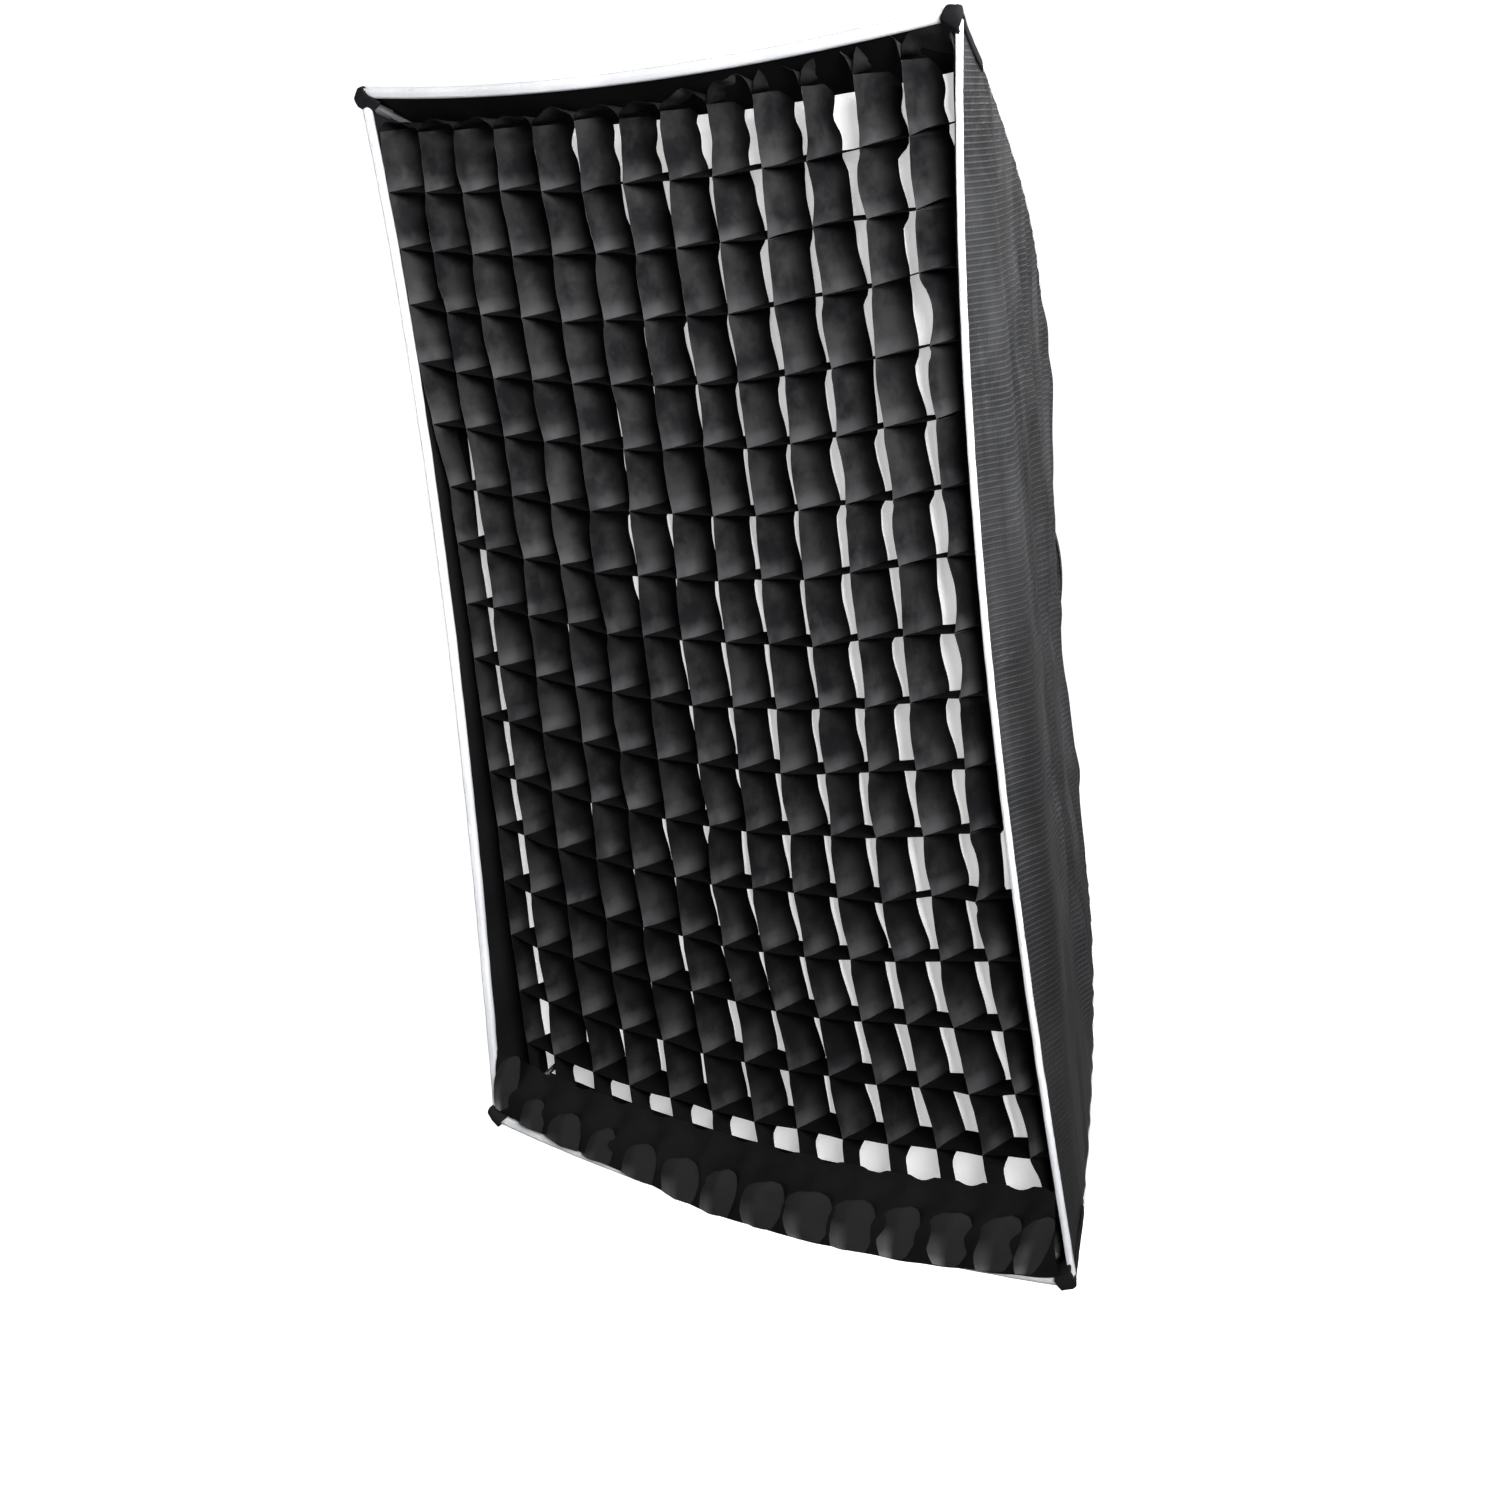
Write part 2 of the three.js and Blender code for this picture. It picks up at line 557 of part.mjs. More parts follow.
makeBayonetRing();
makeRetainingRing();
makeFrictionWasher();
makeHubHousing();
makeLockLever();
CORNERS.forEach(makeCornerAssembly);
makeShellPanels();
makeRimBindings();
makeLoopTapes();
makeSheets();
makeGrid();

export default softbox;
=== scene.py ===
import json
import math

import bpy
import numpy as np
from mathutils import Matrix, Vector, noise


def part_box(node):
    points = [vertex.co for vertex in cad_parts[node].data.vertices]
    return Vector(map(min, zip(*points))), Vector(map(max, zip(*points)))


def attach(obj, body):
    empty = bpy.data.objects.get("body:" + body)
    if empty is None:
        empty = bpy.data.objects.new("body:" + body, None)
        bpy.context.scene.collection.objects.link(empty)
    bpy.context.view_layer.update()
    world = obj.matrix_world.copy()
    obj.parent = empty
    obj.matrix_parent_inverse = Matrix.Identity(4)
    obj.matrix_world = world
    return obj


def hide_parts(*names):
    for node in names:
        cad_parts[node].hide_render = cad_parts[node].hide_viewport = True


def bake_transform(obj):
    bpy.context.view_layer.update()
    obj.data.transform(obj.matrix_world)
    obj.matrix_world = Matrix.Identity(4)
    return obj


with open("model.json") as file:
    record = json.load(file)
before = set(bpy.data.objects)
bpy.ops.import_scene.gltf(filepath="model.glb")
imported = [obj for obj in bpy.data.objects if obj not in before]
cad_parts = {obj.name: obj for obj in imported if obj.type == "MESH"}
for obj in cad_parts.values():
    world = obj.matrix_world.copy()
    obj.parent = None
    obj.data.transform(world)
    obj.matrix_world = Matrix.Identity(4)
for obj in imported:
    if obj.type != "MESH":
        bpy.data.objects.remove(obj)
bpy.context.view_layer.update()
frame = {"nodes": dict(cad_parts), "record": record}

# ---- Places taken from the frame ---------------------------------------------------------
SHELL_LOW, SHELL_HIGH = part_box("shell_panel_top")
RIM_Y = SHELL_LOW.y
HALF_W = SHELL_HIGH.x + 0.0005
HALF_H = SHELL_HIGH.z
NECK_R = 0.0866                     # radius of the shell where the neck collar holds it
NECK_Y = SHELL_HIGH.y
CORNER_RHO = math.hypot(HALF_W, HALF_H)
UX, UZ = HALF_W / CORNER_RHO, HALF_H / CORNER_RHO
NECK_BLEND = 0.2                    # share of the seam over which the round neck turns rectangular
SEAM = [(NECK_R, NECK_Y), (0.270, -0.040), (CORNER_RHO, RIM_Y)]     # Bezier points of a rod seam
GRID_FRONT_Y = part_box("egg_crate_grid")[0].y
BAFFLE_LOW, BAFFLE_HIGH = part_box("inner_baffle")
COLUMNS, ROWS = 13, 18
CORNERS = {"top_right": (1, 1), "top_left": (-1, 1), "bottom_left": (-1, -1), "bottom_right": (1, -1)}
SIDES = ("right", "top", "left", "bottom")
MOUTH_DEPTH = 0.048                 # black-lined mouth in front of the diffuser
ROW_PITCH = 0.0495                  # height of the grid's cells
LOBE_CELL = 0.04                    # length that one lobe takes in its UVs

rng = np.random.default_rng(7)


# ---- Camera, lights and stage --------------------------------------------------------------
CAMERA_ANGLES = (43.02, 13.71, -6.235)              # azimuth, elevation and roll in degrees
CAMERA_FROM_RIM = (1.2525, -1.3048, 0.3986)
LENS = 57.7
LENS_SHIFT = (0.0109, -0.0293)
WORLD_STRENGTH = 0.13
BACKDROP_RADIUS, FLOOR_REACH, FLOOR_Z = 14, 9, -1.3
# Name, place, target, size, power in watts and spread in degrees
LIGHTS = (
    ("key", (2.05, -1.70, 0.95), (0.1, -0.35, 0.24), (1.0, 0.7), 16, 50),
    ("side", (2.4, 0.5, 1.2), (0.3, -0.25, 0.42), (0.6, 0.6), 4, 34),
    ("front", (-0.9, -3.3, 0.15), (0, -0.3, 0), (2.0, 2.0), 34, 180),
    ("back", (0.8, 3.0, 1.8), (0, -0.1, 0), (2.0, 2.0), 80, 180),
)


def make_camera():
    azimuth, elevation, roll = (math.radians(angle) for angle in CAMERA_ANGLES)
    back = Vector((math.sin(azimuth) * math.cos(elevation), -math.cos(azimuth) * math.cos(elevation),
                   math.sin(elevation)))
    level = Vector((math.cos(azimuth), math.sin(azimuth), 0))
    upright = back.cross(level)
    right = level * math.cos(roll) + upright * math.sin(roll)
    up = back.cross(right)
    data = bpy.data.cameras.new("camera")
    data.sensor_width = 36
    data.lens = LENS
    data.shift_x, data.shift_y = LENS_SHIFT
    data.clip_end = 60
    camera = bpy.data.objects.new("camera", data)
    place = Matrix((right, up, back)).transposed().to_4x4()
    place.translation = Vector(CAMERA_FROM_RIM) + Vector((0, RIM_Y, 0))
    camera.matrix_world = place
    bpy.context.scene.collection.objects.link(camera)
    bpy.context.scene.camera = camera


def area_light(name, place, target, size, power, spread):
    data = bpy.data.lights.new(name, "AREA")
    data.shape = "RECTANGLE"
    data.size, data.size_y = size
    data.energy = power
    data.spread = math.radians(spread)
    light = bpy.data.objects.new(name, data)
    light.location = place
    light.rotation_euler = (Vector(target) - Vector(place)).to_track_quat("-Z", "Y").to_euler()
    bpy.context.scene.collection.objects.link(light)


def make_stage():
    """Dim world, a white backdrop that only the camera sees, a pale floor and soft lights."""
    world = bpy.data.worlds.new("studio")
    bpy.context.scene.world = world
    world.use_nodes = True
    background = world.node_tree.nodes["Background"]
    background.inputs["Color"].default_value = grey(1)
    background.inputs["Strength"].default_value = WORLD_STRENGTH
    bpy.ops.mesh.primitive_uv_sphere_add(segments=96, ring_count=48, radius=BACKDROP_RADIUS)
    backdrop = bpy.context.object
    backdrop.name = "backdrop"
    square = ((-1, -1), (1, -1), (1, 1), (-1, 1))
    floor = mesh_object("floor", [(x * FLOOR_REACH, y * FLOOR_REACH, FLOOR_Z) for x, y in square],
                        [(0, 1, 2, 3)])
    for piece, glow in ((backdrop, 1.0), (floor, 0.92)):
        material, _, shader = new_material(f"pale_{piece.name}")
        shader.inputs["Base Color"].default_value = grey(0.9)
        shader.inputs["Roughness"].default_value = 0.9
        shader.inputs["Emission Color"].default_value = grey(1)
        shader.inputs["Emission Strength"].default_value = glow
        piece.data.materials.append(material)
        piece.visible_diffuse = piece.visible_glossy = piece.visible_shadow = False
    for light in LIGHTS:
        area_light(*light)
    bpy.context.scene.view_settings.view_transform = "Standard"


# ---- Small mesh and node helpers -----------------------------------------------------------
def mesh_object(name, points, faces, smooth=False):
    mesh = bpy.data.meshes.new(name)
    mesh.from_pydata([tuple(p) for p in points], [], [tuple(f) for f in faces])
    mesh.validate()
    mesh.update()
    if smooth:
        mesh.shade_smooth()
    piece = bpy.data.objects.new(name, mesh)
    bpy.context.scene.collection.objects.link(piece)
    return piece


def new_material(name):
    material = bpy.data.materials.new(name)
    material.use_nodes = True
    tree = material.node_tree
    return material, tree, tree.nodes["Principled BSDF"]


def node(tree, kind, inputs=(), **settings):
    made = tree.nodes.new(kind)
    for key, value in settings.items():
        setattr(made, key, value)
    for key, value in dict(inputs).items():
        if isinstance(value, bpy.types.NodeSocket):
            tree.links.new(value, made.inputs[key])
        else:
            made.inputs[key].default_value = value
    return made


def maths(tree, operation, *values):
    return node(tree, "ShaderNodeMath", dict(enumerate(values)), operation=operation).outputs[0]


def ramp(tree, value, low, high, to_low, to_high):
    inputs = {"Value": value, "From Min": low, "From Max": high, "To Min": to_low, "To Max": to_high}
    return node(tree, "ShaderNodeMapRange", inputs, clamp=True).outputs[0]


def mix_color(tree, factor, a, b):
    made = node(tree, "ShaderNodeMix", data_type="RGBA")
    for socket, value in zip((made.inputs[0], made.inputs[6], made.inputs[7]), (factor, a, b)):
        if isinstance(value, bpy.types.NodeSocket):
            tree.links.new(value, socket)
        else:
            socket.default_value = value
    return made.outputs[2]


def noise_value(tree, vector, scale, detail=4.0, roughness=0.55, distortion=0.0):
    inputs = {"Vector": vector, "Scale": scale, "Detail": detail, "Roughness": roughness,
              "Distortion": distortion}
    return node(tree, "ShaderNodeTexNoise", inputs).outputs["Fac"]


def grey(value):
    return (value, value, value, 1)


def scaled(color, factor):
    """The colour, darker or brighter by a factor."""
    return tuple(c * factor for c in color[:3]) + (1,)


def bump(tree, shader, layers):
    """Chains (height, strength, distance in metres) bumps into the shader's normal."""
    normal = None
    for height, strength, distance in layers:
        inputs = {"Height": height, "Strength": strength, "Distance": distance}
        if normal is not None:
            inputs["Normal"] = normal
        normal = node(tree, "ShaderNodeBump", inputs).outputs["Normal"]
    tree.links.new(normal, shader.inputs["Normal"])


# ---- Materials -----------------------------------------------------------------------------
DIFFUSER_GLOW = 0.46


def thread_lines(tree, coordinate, pitch, width):
    """1 on a raised thread every pitch metres, 0 between."""
    wave = maths(tree, "PINGPONG", coordinate, pitch / 2)
    return ramp(tree, wave, 0, width, 1, 0)


def fabric(name, color, dark, roughness, gloss, ripstop=None, weave=0.0007, wrinkle=0.004, streak=None,
           folds=None, fade=None, mottle=9, cells=None):
    """Woven cloth with UVs in metres, that mottles between color and dark.

    ripstop is the pitch of its threads, weave that of its yarns, and streak the density of lines along v.
    wrinkle and folds are heights of bumps, and mottle the scale of the patches. cells is the pitch along v
    of cells that are rubbed and dulled, and fade the (start, end, share) of a shade along u.
    """
    material, tree, shader = new_material(name)
    uv = node(tree, "ShaderNodeUVMap").outputs["UV"]
    place = node(tree, "ShaderNodeTexCoord").outputs["Object"]
    split = node(tree, "ShaderNodeSeparateXYZ", {"Vector": uv})
    u, v = split.outputs["X"], split.outputs["Y"]
    patches = noise_value(tree, place, mottle, 3)
    fine = noise_value(tree, place, 260, 3)
    mottled = maths(tree, "ADD", maths(tree, "MULTIPLY", patches, 0.8), maths(tree, "MULTIPLY", fine, 0.2))
    base = mix_color(tree, ramp(tree, mottled, 0.40, 0.60, 0, 1), dark, color)
    shaded = scaled(color, 0.12)
    threads = maths(tree, "MULTIPLY", maths(tree, "PINGPONG", u, weave), maths(tree, "PINGPONG", v, weave))
    layers = [(noise_value(tree, place, 14, 3, 0.5, 0.6), 0.5, wrinkle)]
    if ripstop:
        across = thread_lines(tree, u, ripstop, ripstop * 0.24)
        along = maths(tree, "MULTIPLY", 0.4, thread_lines(tree, v, ripstop, ripstop * 0.2))
        lines = maths(tree, "MAXIMUM", across, along)
        base = mix_color(tree, maths(tree, "MULTIPLY", lines, 0.6), base, scaled(color, 2.0))
        layers.append((lines, 0.5, 0.0005))
    if streak:
        stretched = node(tree, "ShaderNodeMapping", {"Vector": uv, "Scale": (streak, 4, 1)}).outputs[0]
        lines = noise_value(tree, stretched, 1, 3)
        base = mix_color(tree, ramp(tree, lines, 0.35, 0.7, 0, 0.5), base, dark)
        layers.append((lines, 0.3, 0.0006))
    if folds:
        stretched = node(tree, "ShaderNodeMapping", {"Vector": uv, "Scale": (3.5, 17, 1)}).outputs[0]
        creases = noise_value(tree, stretched, 1, 1.5, 0.4, 0.5)
        base = mix_color(tree, ramp(tree, creases, 0.42, 0.58, 0, 0.55), base, scaled(dark, 0.4))
        layers.append((creases, 0.9, folds))
    if cells:                       # rubbed pale at the foot of each cell, dull at its head in the low rows
        phase = maths(tree, "DIVIDE", maths(tree, "MODULO", v, cells), cells)
        low = ramp(tree, v, cells * 4, cells * 14, 0.25, 1)
        dull = maths(tree, "MULTIPLY", ramp(tree, phase, 0.30, 0.80, 1, 0), low)
        base = mix_color(tree, dull, base, shaded)
        worn = ramp(tree, patches, 0.3, 0.6, 0.2, 0.9)
        rubbed = maths(tree, "MULTIPLY", ramp(tree, phase, 0.72, 0.92, 0, 1), worn)
        base = mix_color(tree, rubbed, base, scaled(color, 2.2))
    if fade:                        # turned under, so that it darkens from one edge to the other
        start, end, share = fade
        base = mix_color(tree, ramp(tree, u, start, end, 0, share), base, shaded)
    layers.append((threads, 0.25, 0.0003))
    layers.append((fine, 0.12, 0.0005))
    tree.links.new(base, shader.inputs["Base Color"])
    tree.links.new(ramp(tree, patches, 0.3, 0.7, roughness - 0.07, roughness + 0.08),
                   shader.inputs["Roughness"])
    shader.inputs["Specular IOR Level"].default_value = gloss
    bump(tree, shader, layers)
    return material


def moulded(name, color, roughness, wear=0.0, metallic=0.0, brushed=None):
    """Moulded plastic or machined metal, with grain, and paler worn edges where wear is above 0."""
    material, tree, shader = new_material(name)
    place = node(tree, "ShaderNodeTexCoord").outputs["Object"]
    speckle = noise_value(tree, place, 900, 2)
    smudge = noise_value(tree, place, 30, 5)
    base = mix_color(tree, ramp(tree, smudge, 0.3, 0.7, 0, 1), scaled(color, 0.82), color)
    if wear:
        pointiness = node(tree, "ShaderNodeNewGeometry").outputs["Pointiness"]
        edge = maths(tree, "MULTIPLY", ramp(tree, pointiness, 0.52, 0.6, 0, wear), smudge)
        base = mix_color(tree, edge, base, tuple(min(1, c * 2.5 + 0.08) for c in color[:3]) + (1,))
    layers = [(speckle, 0.12, 0.0002)]
    if brushed:
        stretched = node(tree, "ShaderNodeMapping", {"Vector": place, "Scale": brushed}).outputs[0]
        layers.append((noise_value(tree, stretched, 1, 3), 0.18, 0.0003))
    tree.links.new(base, shader.inputs["Base Color"])
    tree.links.new(ramp(tree, smudge, 0.3, 0.7, roughness - 0.06, roughness + 0.1),
                   shader.inputs["Roughness"])
    shader.inputs["Metallic"].default_value = metallic
    bump(tree, shader, layers)
    return material


def make_materials():
    made = {
        "shell": fabric("shell_nylon", (0.0230, 0.0233, 0.0245, 1), (0.0110, 0.0112, 0.0120, 1), 0.55, 0.22,
                        ripstop=0.0042, wrinkle=0.012, folds=0.022),
        "lining": fabric("silver_lining", (0.62, 0.63, 0.65, 1), (0.50, 0.51, 0.52, 1), 0.4, 0.5),
        "mouth": fabric("mouth_lining", (0.0045, 0.0045, 0.005, 1), (0.0025, 0.0025, 0.003, 1), 0.7, 0.09),
        "binding": fabric("binding_tape", (0.66, 0.665, 0.68, 1), (0.52, 0.53, 0.55, 1), 0.7, 0.2,
                          weave=0.0009, wrinkle=0.001, streak=900),
        "webbing": fabric("black_webbing", (0.008, 0.008, 0.009, 1), (0.004, 0.004, 0.005, 1), 0.75, 0.14,
                          weave=0.0012, wrinkle=0.002),
        "grid": fabric("grid_satin", (0.024, 0.024, 0.025, 1), (0.007, 0.007, 0.008, 1), 0.45, 0.22,
                       weave=0.0005, wrinkle=0.006, mottle=30, fade=(0.010, 0.040, 0.75),
                       cells=ROW_PITCH),
        "fold": fabric("grid_fold", (0.125, 0.125, 0.127, 1), (0.07, 0.07, 0.071, 1), 0.60, 0.06,
                       weave=0.0005, wrinkle=0.004, fade=(0.014, 0.027, 0.97), cells=LOBE_CELL),
        "plastic": moulded("hub_nylon", (0.020, 0.020, 0.022, 1), 0.5, wear=0.5),
        "button": moulded("button_red", (0.42, 0.035, 0.022, 1), 0.4, wear=0.3),
        "aluminium": moulded("turned_aluminium", (0.60, 0.61, 0.63, 1), 0.32, metallic=1.0,
                             brushed=(60, 900, 60)),
        "steel": moulded("zinc_steel", (0.48, 0.49, 0.50, 1), 0.3, metallic=1.0, wear=0.2),
        "rod": moulded("coated_rod", (0.035, 0.035, 0.038, 1), 0.38, wear=0.6),
    }
    made["diffuser"] = diffuser_cloth()
    return made


def diffuser_cloth():
    """White woven nylon that glows as if a light stood behind it."""
    material, tree, shader = new_material("diffuser_nylon")
    uv = node(tree, "ShaderNodeUVMap").outputs["UV"]
    stretched = node(tree, "ShaderNodeMapping", {"Vector": uv, "Scale": (420, 5, 1)}).outputs[0]
    lines = noise_value(tree, stretched, 1, 3)
    place = node(tree, "ShaderNodeTexCoord").outputs["Object"]
    soft = noise_value(tree, place, 6, 3)
    tone = mix_color(tree, ramp(tree, lines, 0.3, 0.7, 0, 1), grey(0.84), (0.93, 0.93, 0.92, 1))
    tree.links.new(tone, shader.inputs["Base Color"])
    tree.links.new(tone, shader.inputs["Emission Color"])
    shader.inputs["Emission Strength"].default_value = DIFFUSER_GLOW
    shader.inputs["Roughness"].default_value = 0.75
    bump(tree, shader, [(soft, 0.3, 0.006), (lines, 0.25, 0.0005)])
    return material


# ---- How the cloth hangs -------------------------------------------------------------------
SIDE_BOW = 0.0235                   # how far the long sides are drawn in at mid-height
SIDE_BOW_DEPTH = 0.14               # share of the depth over which that fades
FOOT_SPREAD = 0.0100                # how far the lower corners stand out
RIM_BOW = 0.009                     # how far the short sides stand forward in their middle


def smooth(value):
    t = np.clip(value, 0, 1)
    return t * t * (3 - 2 * t)


def hang(points):
    """Bows the mouth as tensioned cloth does: long sides drawn in, short sides sagging, foot spread."""
    p = np.array(points, float)
    u, v = p[:, 0] / HALF_W, p[:, 2] / HALF_H
    depth = (p[:, 1] - RIM_Y) / (NECK_Y - RIM_Y)
    near = 1 - smooth(depth / 0.72)
    across, along = 1 - u * u, 1 - v * v
    p[:, 0] += -u * SIDE_BOW * along * (1 + 0.25 * v) * (1 - smooth(depth / SIDE_BOW_DEPTH))
    p[:, 0] += u * FOOT_SPREAD * (1 - v) / 2 * (1 - smooth(depth))
    p[:, 1] += -(0.002 * along * u * u + RIM_BOW * across * v * v) * near
    p[:, 1] += 0.024 * depth * (1 - depth) * smooth(-1.5 * v)
    p[:, 2] += -(0.0105 + 0.0045 * v * v) * across * near
    return p


def bezier(line, t):
    a, b, c = (np.array(point, float) for point in line)
    t = np.asarray(t, float)[..., None]
    return (1 - t) ** 2 * a + 2 * t * (1 - t) * b + t * t * c


SEAM_TABLE = bezier(SEAM, np.linspace(0, 1, 400))


def seam_rho(y):
    """Distance from the axis to the rod seams, at a depth."""
    return np.interp(y, SEAM_TABLE[::-1, 1], SEAM_TABLE[::-1, 0])


def run_length(line):
    """How far along a line of points each of them is."""
    return np.concatenate([[0], np.cumsum(np.linalg.norm(np.diff(line, axis=0), axis=1))])


def turned(a, b, side):
    """(away from the axis, across) of a side, as x and z."""
    angle = side * math.pi / 2
    return a * math.cos(angle) - b * math.sin(angle), a * math.sin(angle) + b * math.cos(angle)


def side_surface(side, t, u):
    """Points of one side of the shell: t from neck to rim, u from -1 to 1 between the seams."""
    upright = side % 2 == 0
    rho, y = bezier(SEAM, t).T
    across = rho * (UZ if upright else UX)
    away = rho * (UX if upright else UZ)
    half_angle = math.atan2(UZ, UX) if upright else math.pi / 2 - math.atan2(UZ, UX)
    to_circle = 1 - smooth(t / NECK_BLEND)
    a = away + (rho * np.cos(half_angle * u) - away) * to_circle
    b = across * u + (rho * np.sin(half_angle * u) - across * u) * to_circle
    x, z = turned(a, b, side)
    return np.stack([x, y, z], 1)


def lattice(rows, columns):
    """Parameters and quads of a rows x columns sheet."""
    i, j = np.meshgrid(np.arange(rows + 1), np.arange(columns + 1), indexing="ij")
    a = (i[:-1, :-1] * (columns + 1) + j[:-1, :-1]).ravel()
    quads = np.stack([a, a + 1, a + columns + 2, a + columns + 1], 1)
    return i.ravel() / rows, j.ravel() / columns, quads


def set_uv(piece, uv):
    layer = piece.data.uv_layers.new(name="UVMap")
    index = np.zeros(len(piece.data.loops), int)
    piece.data.loops.foreach_get("vertex_index", index)
    layer.data.foreach_set("uv", np.asarray(uv, np.float32)[index].ravel())


def solidify(piece, thickness):
    modifier = piece.modifiers.new("thickness", "SOLIDIFY")
    modifier.thickness = thickness
    modifier.offset = 0


def cloth_normals(points, quads):
    """Unit normals of a sheet's points, from the quads that share them."""
    a, b, c, d = (points[quads[:, k]] for k in range(4))
    face = np.cross(c - a, d - b)
    normals = np.zeros_like(points)
    for k in range(4):
        np.add.at(normals, quads[:, k], face)
    return normals / (np.linalg.norm(normals, axis=1)[:, None] + 1e-12)


def thick_cloth(name, points, normals, quads, uv, thickness, inner):
    """A sheet with both faces and its edges, shaded as part of the uncut cloth that normals came from."""
    count = len(points)
    edges = np.stack([quads, np.roll(quads, -1, 1)], 2).reshape(-1, 2)
    _, first, times = np.unique(np.sort(edges, 1), axis=0, return_index=True, return_counts=True)
    a, b = edges[first[times == 1]].T
    rim = np.stack([b, a, a + count, b + count], 1)
    faces = np.concatenate([quads, quads[:, ::-1] + count, rim])
    piece = mesh_object(name, np.concatenate([points, points - normals * thickness]), faces, smooth=True)
    set_uv(piece, np.concatenate([uv, uv]))
    inside = np.concatenate([np.zeros(len(quads)), np.full(len(quads), inner), np.zeros(len(rim))])
    piece.data.polygons.foreach_set("material_index", inside.astype(np.int32))
    piece.data.normals_split_custom_set_from_vertices(np.concatenate([normals, -normals]).tolist())
    return piece


def follow(piece):
    """Blends a quadrant of cloth between the hub and that corner's rod, still on the mid-lines."""
    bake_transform(piece)


def quadrant_pieces(name, points, quads, uv, right, top, material_list, slot, replaced, flat=None,
                    held="stretched", thickness=0.0008, inner=0, area=None, rests_on=("rod_{corner}",)):
    """Cuts a sheet into up to four pieces that each follow their own rod.

    right and top say where each face is. Names in rests_on may hold {corner} and {edge}.
    """
    points, quads, uv = np.asarray(points), np.asarray(quads), np.asarray(uv)
    normals = cloth_normals(points, quads)
    right, top = np.broadcast_to(right, len(quads)), np.broadcast_to(top, len(quads))
    made = []
    for corner, (sx, sz) in CORNERS.items():
        own = (right == (sx > 0)) & (top == (sz > 0))
        if not own.any():
            continue
        used, index = np.unique(quads[own], return_inverse=True)
        piece = thick_cloth(f"{name}_{corner}", points[used], normals[used], index.reshape(-1, 4), uv[used],
                            thickness, inner)
        for entry in material_list:
            piece.data.materials.append(entry)
        follow(piece)
        for cad in replaced:
            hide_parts(cad)
        made.append(piece)
    return made


def side_halves(side, s):
    """For faces of one side of the box, s from 0 to 1 along it: which are right and which are top."""
    late = np.asarray(s) > 0.5
    return {0: (True, late), 1: (~late, True), 2: (False, ~late), 3: (late, False)}[side]


# ---- Shell ---------------------------------------------------------------------------------
PANEL_RUN = 0.60                    # cloth from neck to rim
PANEL_TAPER = 0.6                   # mean width of a panel, as a share of its width at the rim
# Long folds between the rods: place along the seam, slope, width and height
TENSION_FOLDS = ((0.55, -0.05, 0.016, 0.0060), (0.64, 0.04, 0.020, -0.0050), (0.74, -0.03, 0.014, 0.0042),
                 (0.42, 0.06, 0.024, 0.0060), (0.83, 0.02, 0.012, -0.0030))


def cloth_noise(points, scale, seed):
    offset = Vector((seed * 3.1, seed * 1.7, seed * 2.3))
    return np.array([noise.noise(Vector(p) * scale + offset) for p in points])


def hung_side(side, t, u, quads):
    """One side of the shell as it hangs, with the outward normals of its points."""
    points = side_surface(side, t, u)
    normal = cloth_normals(points, quads)
    if (normal[:, [0, 2]] @ np.array(turned(1, 0, side))).mean() < 0:
        normal = -normal
    # Drawn in between the rods, with folds that fan out from the neck and puckers at the seams
    free = (1 - u * u) * smooth(t / 0.2) * smooth((0.95 - t) / 0.22)
    broad = cloth_noise(points * (1, 2.4, 0.8), 6, side)
    folds = cloth_noise(points * (1, 3.2, 0.7), 15, side + 4)
    small = cloth_noise(points, 26, side + 9)
    pucker = np.sin(t * 190 + 3 * small) * np.exp(-((1 - np.abs(u)) / 0.07) ** 2)
    lift = -0.010 * free + (0.0030 * broad + 0.0034 * folds) * smooth(free * 3)
    crease = np.exp(-(cloth_noise(points * (1, 2.2, 0.55), 9, side + 17) / 0.11) ** 2)
    lift += (0.0022 * small + 0.0026 * crease) * smooth(free * 3) + 0.0006 * pucker
    for start, slope, width, height in TENSION_FOLDS:
        ridge = (t - start - slope * u + 0.012 * np.sin(5 * u + 9 * start)) / width
        lift += height * np.exp(-ridge ** 2) * smooth(free * 3)
    lift *= smooth((0.98 - t) / 0.08) * smooth(t / 0.05)
    return hang(points + normal * lift[:, None]), normal


def outward_quads(points, normal, quads):
    """The quads, turned over where they face against the normals."""
    return quads if (cloth_normals(points, quads) * normal).sum() > 0 else quads[:, ::-1]


def make_shell(materials):
    rows, columns = 150, 70
    t, s, quads = lattice(rows, columns)
    u = 2 * s - 1
    seam_run = run_length(bezier(SEAM, np.linspace(0, 1, rows + 1)))
    for side, name in enumerate(SIDES):
        upright = side % 2 == 0
        points, normal = hung_side(side, t, u, quads)
        across = bezier(SEAM, t)[:, 0] * (UZ if upright else UX) * u
        uv = np.stack([across, np.repeat(seam_run, columns + 1)], 1)
        width = round(HALF_H if upright else HALF_W, 3)
        quadrant_pieces(
            f"shell_{name}", points, outward_quads(points, normal, quads), uv,
            *side_halves(side, s[quads].mean(1)), [materials["shell"], materials["lining"]], "shell_fabric",
            [f"shell_panel_{name}"], flat=(width, PANEL_RUN), area=round(PANEL_RUN * PANEL_TAPER * width, 4),
            inner=1)


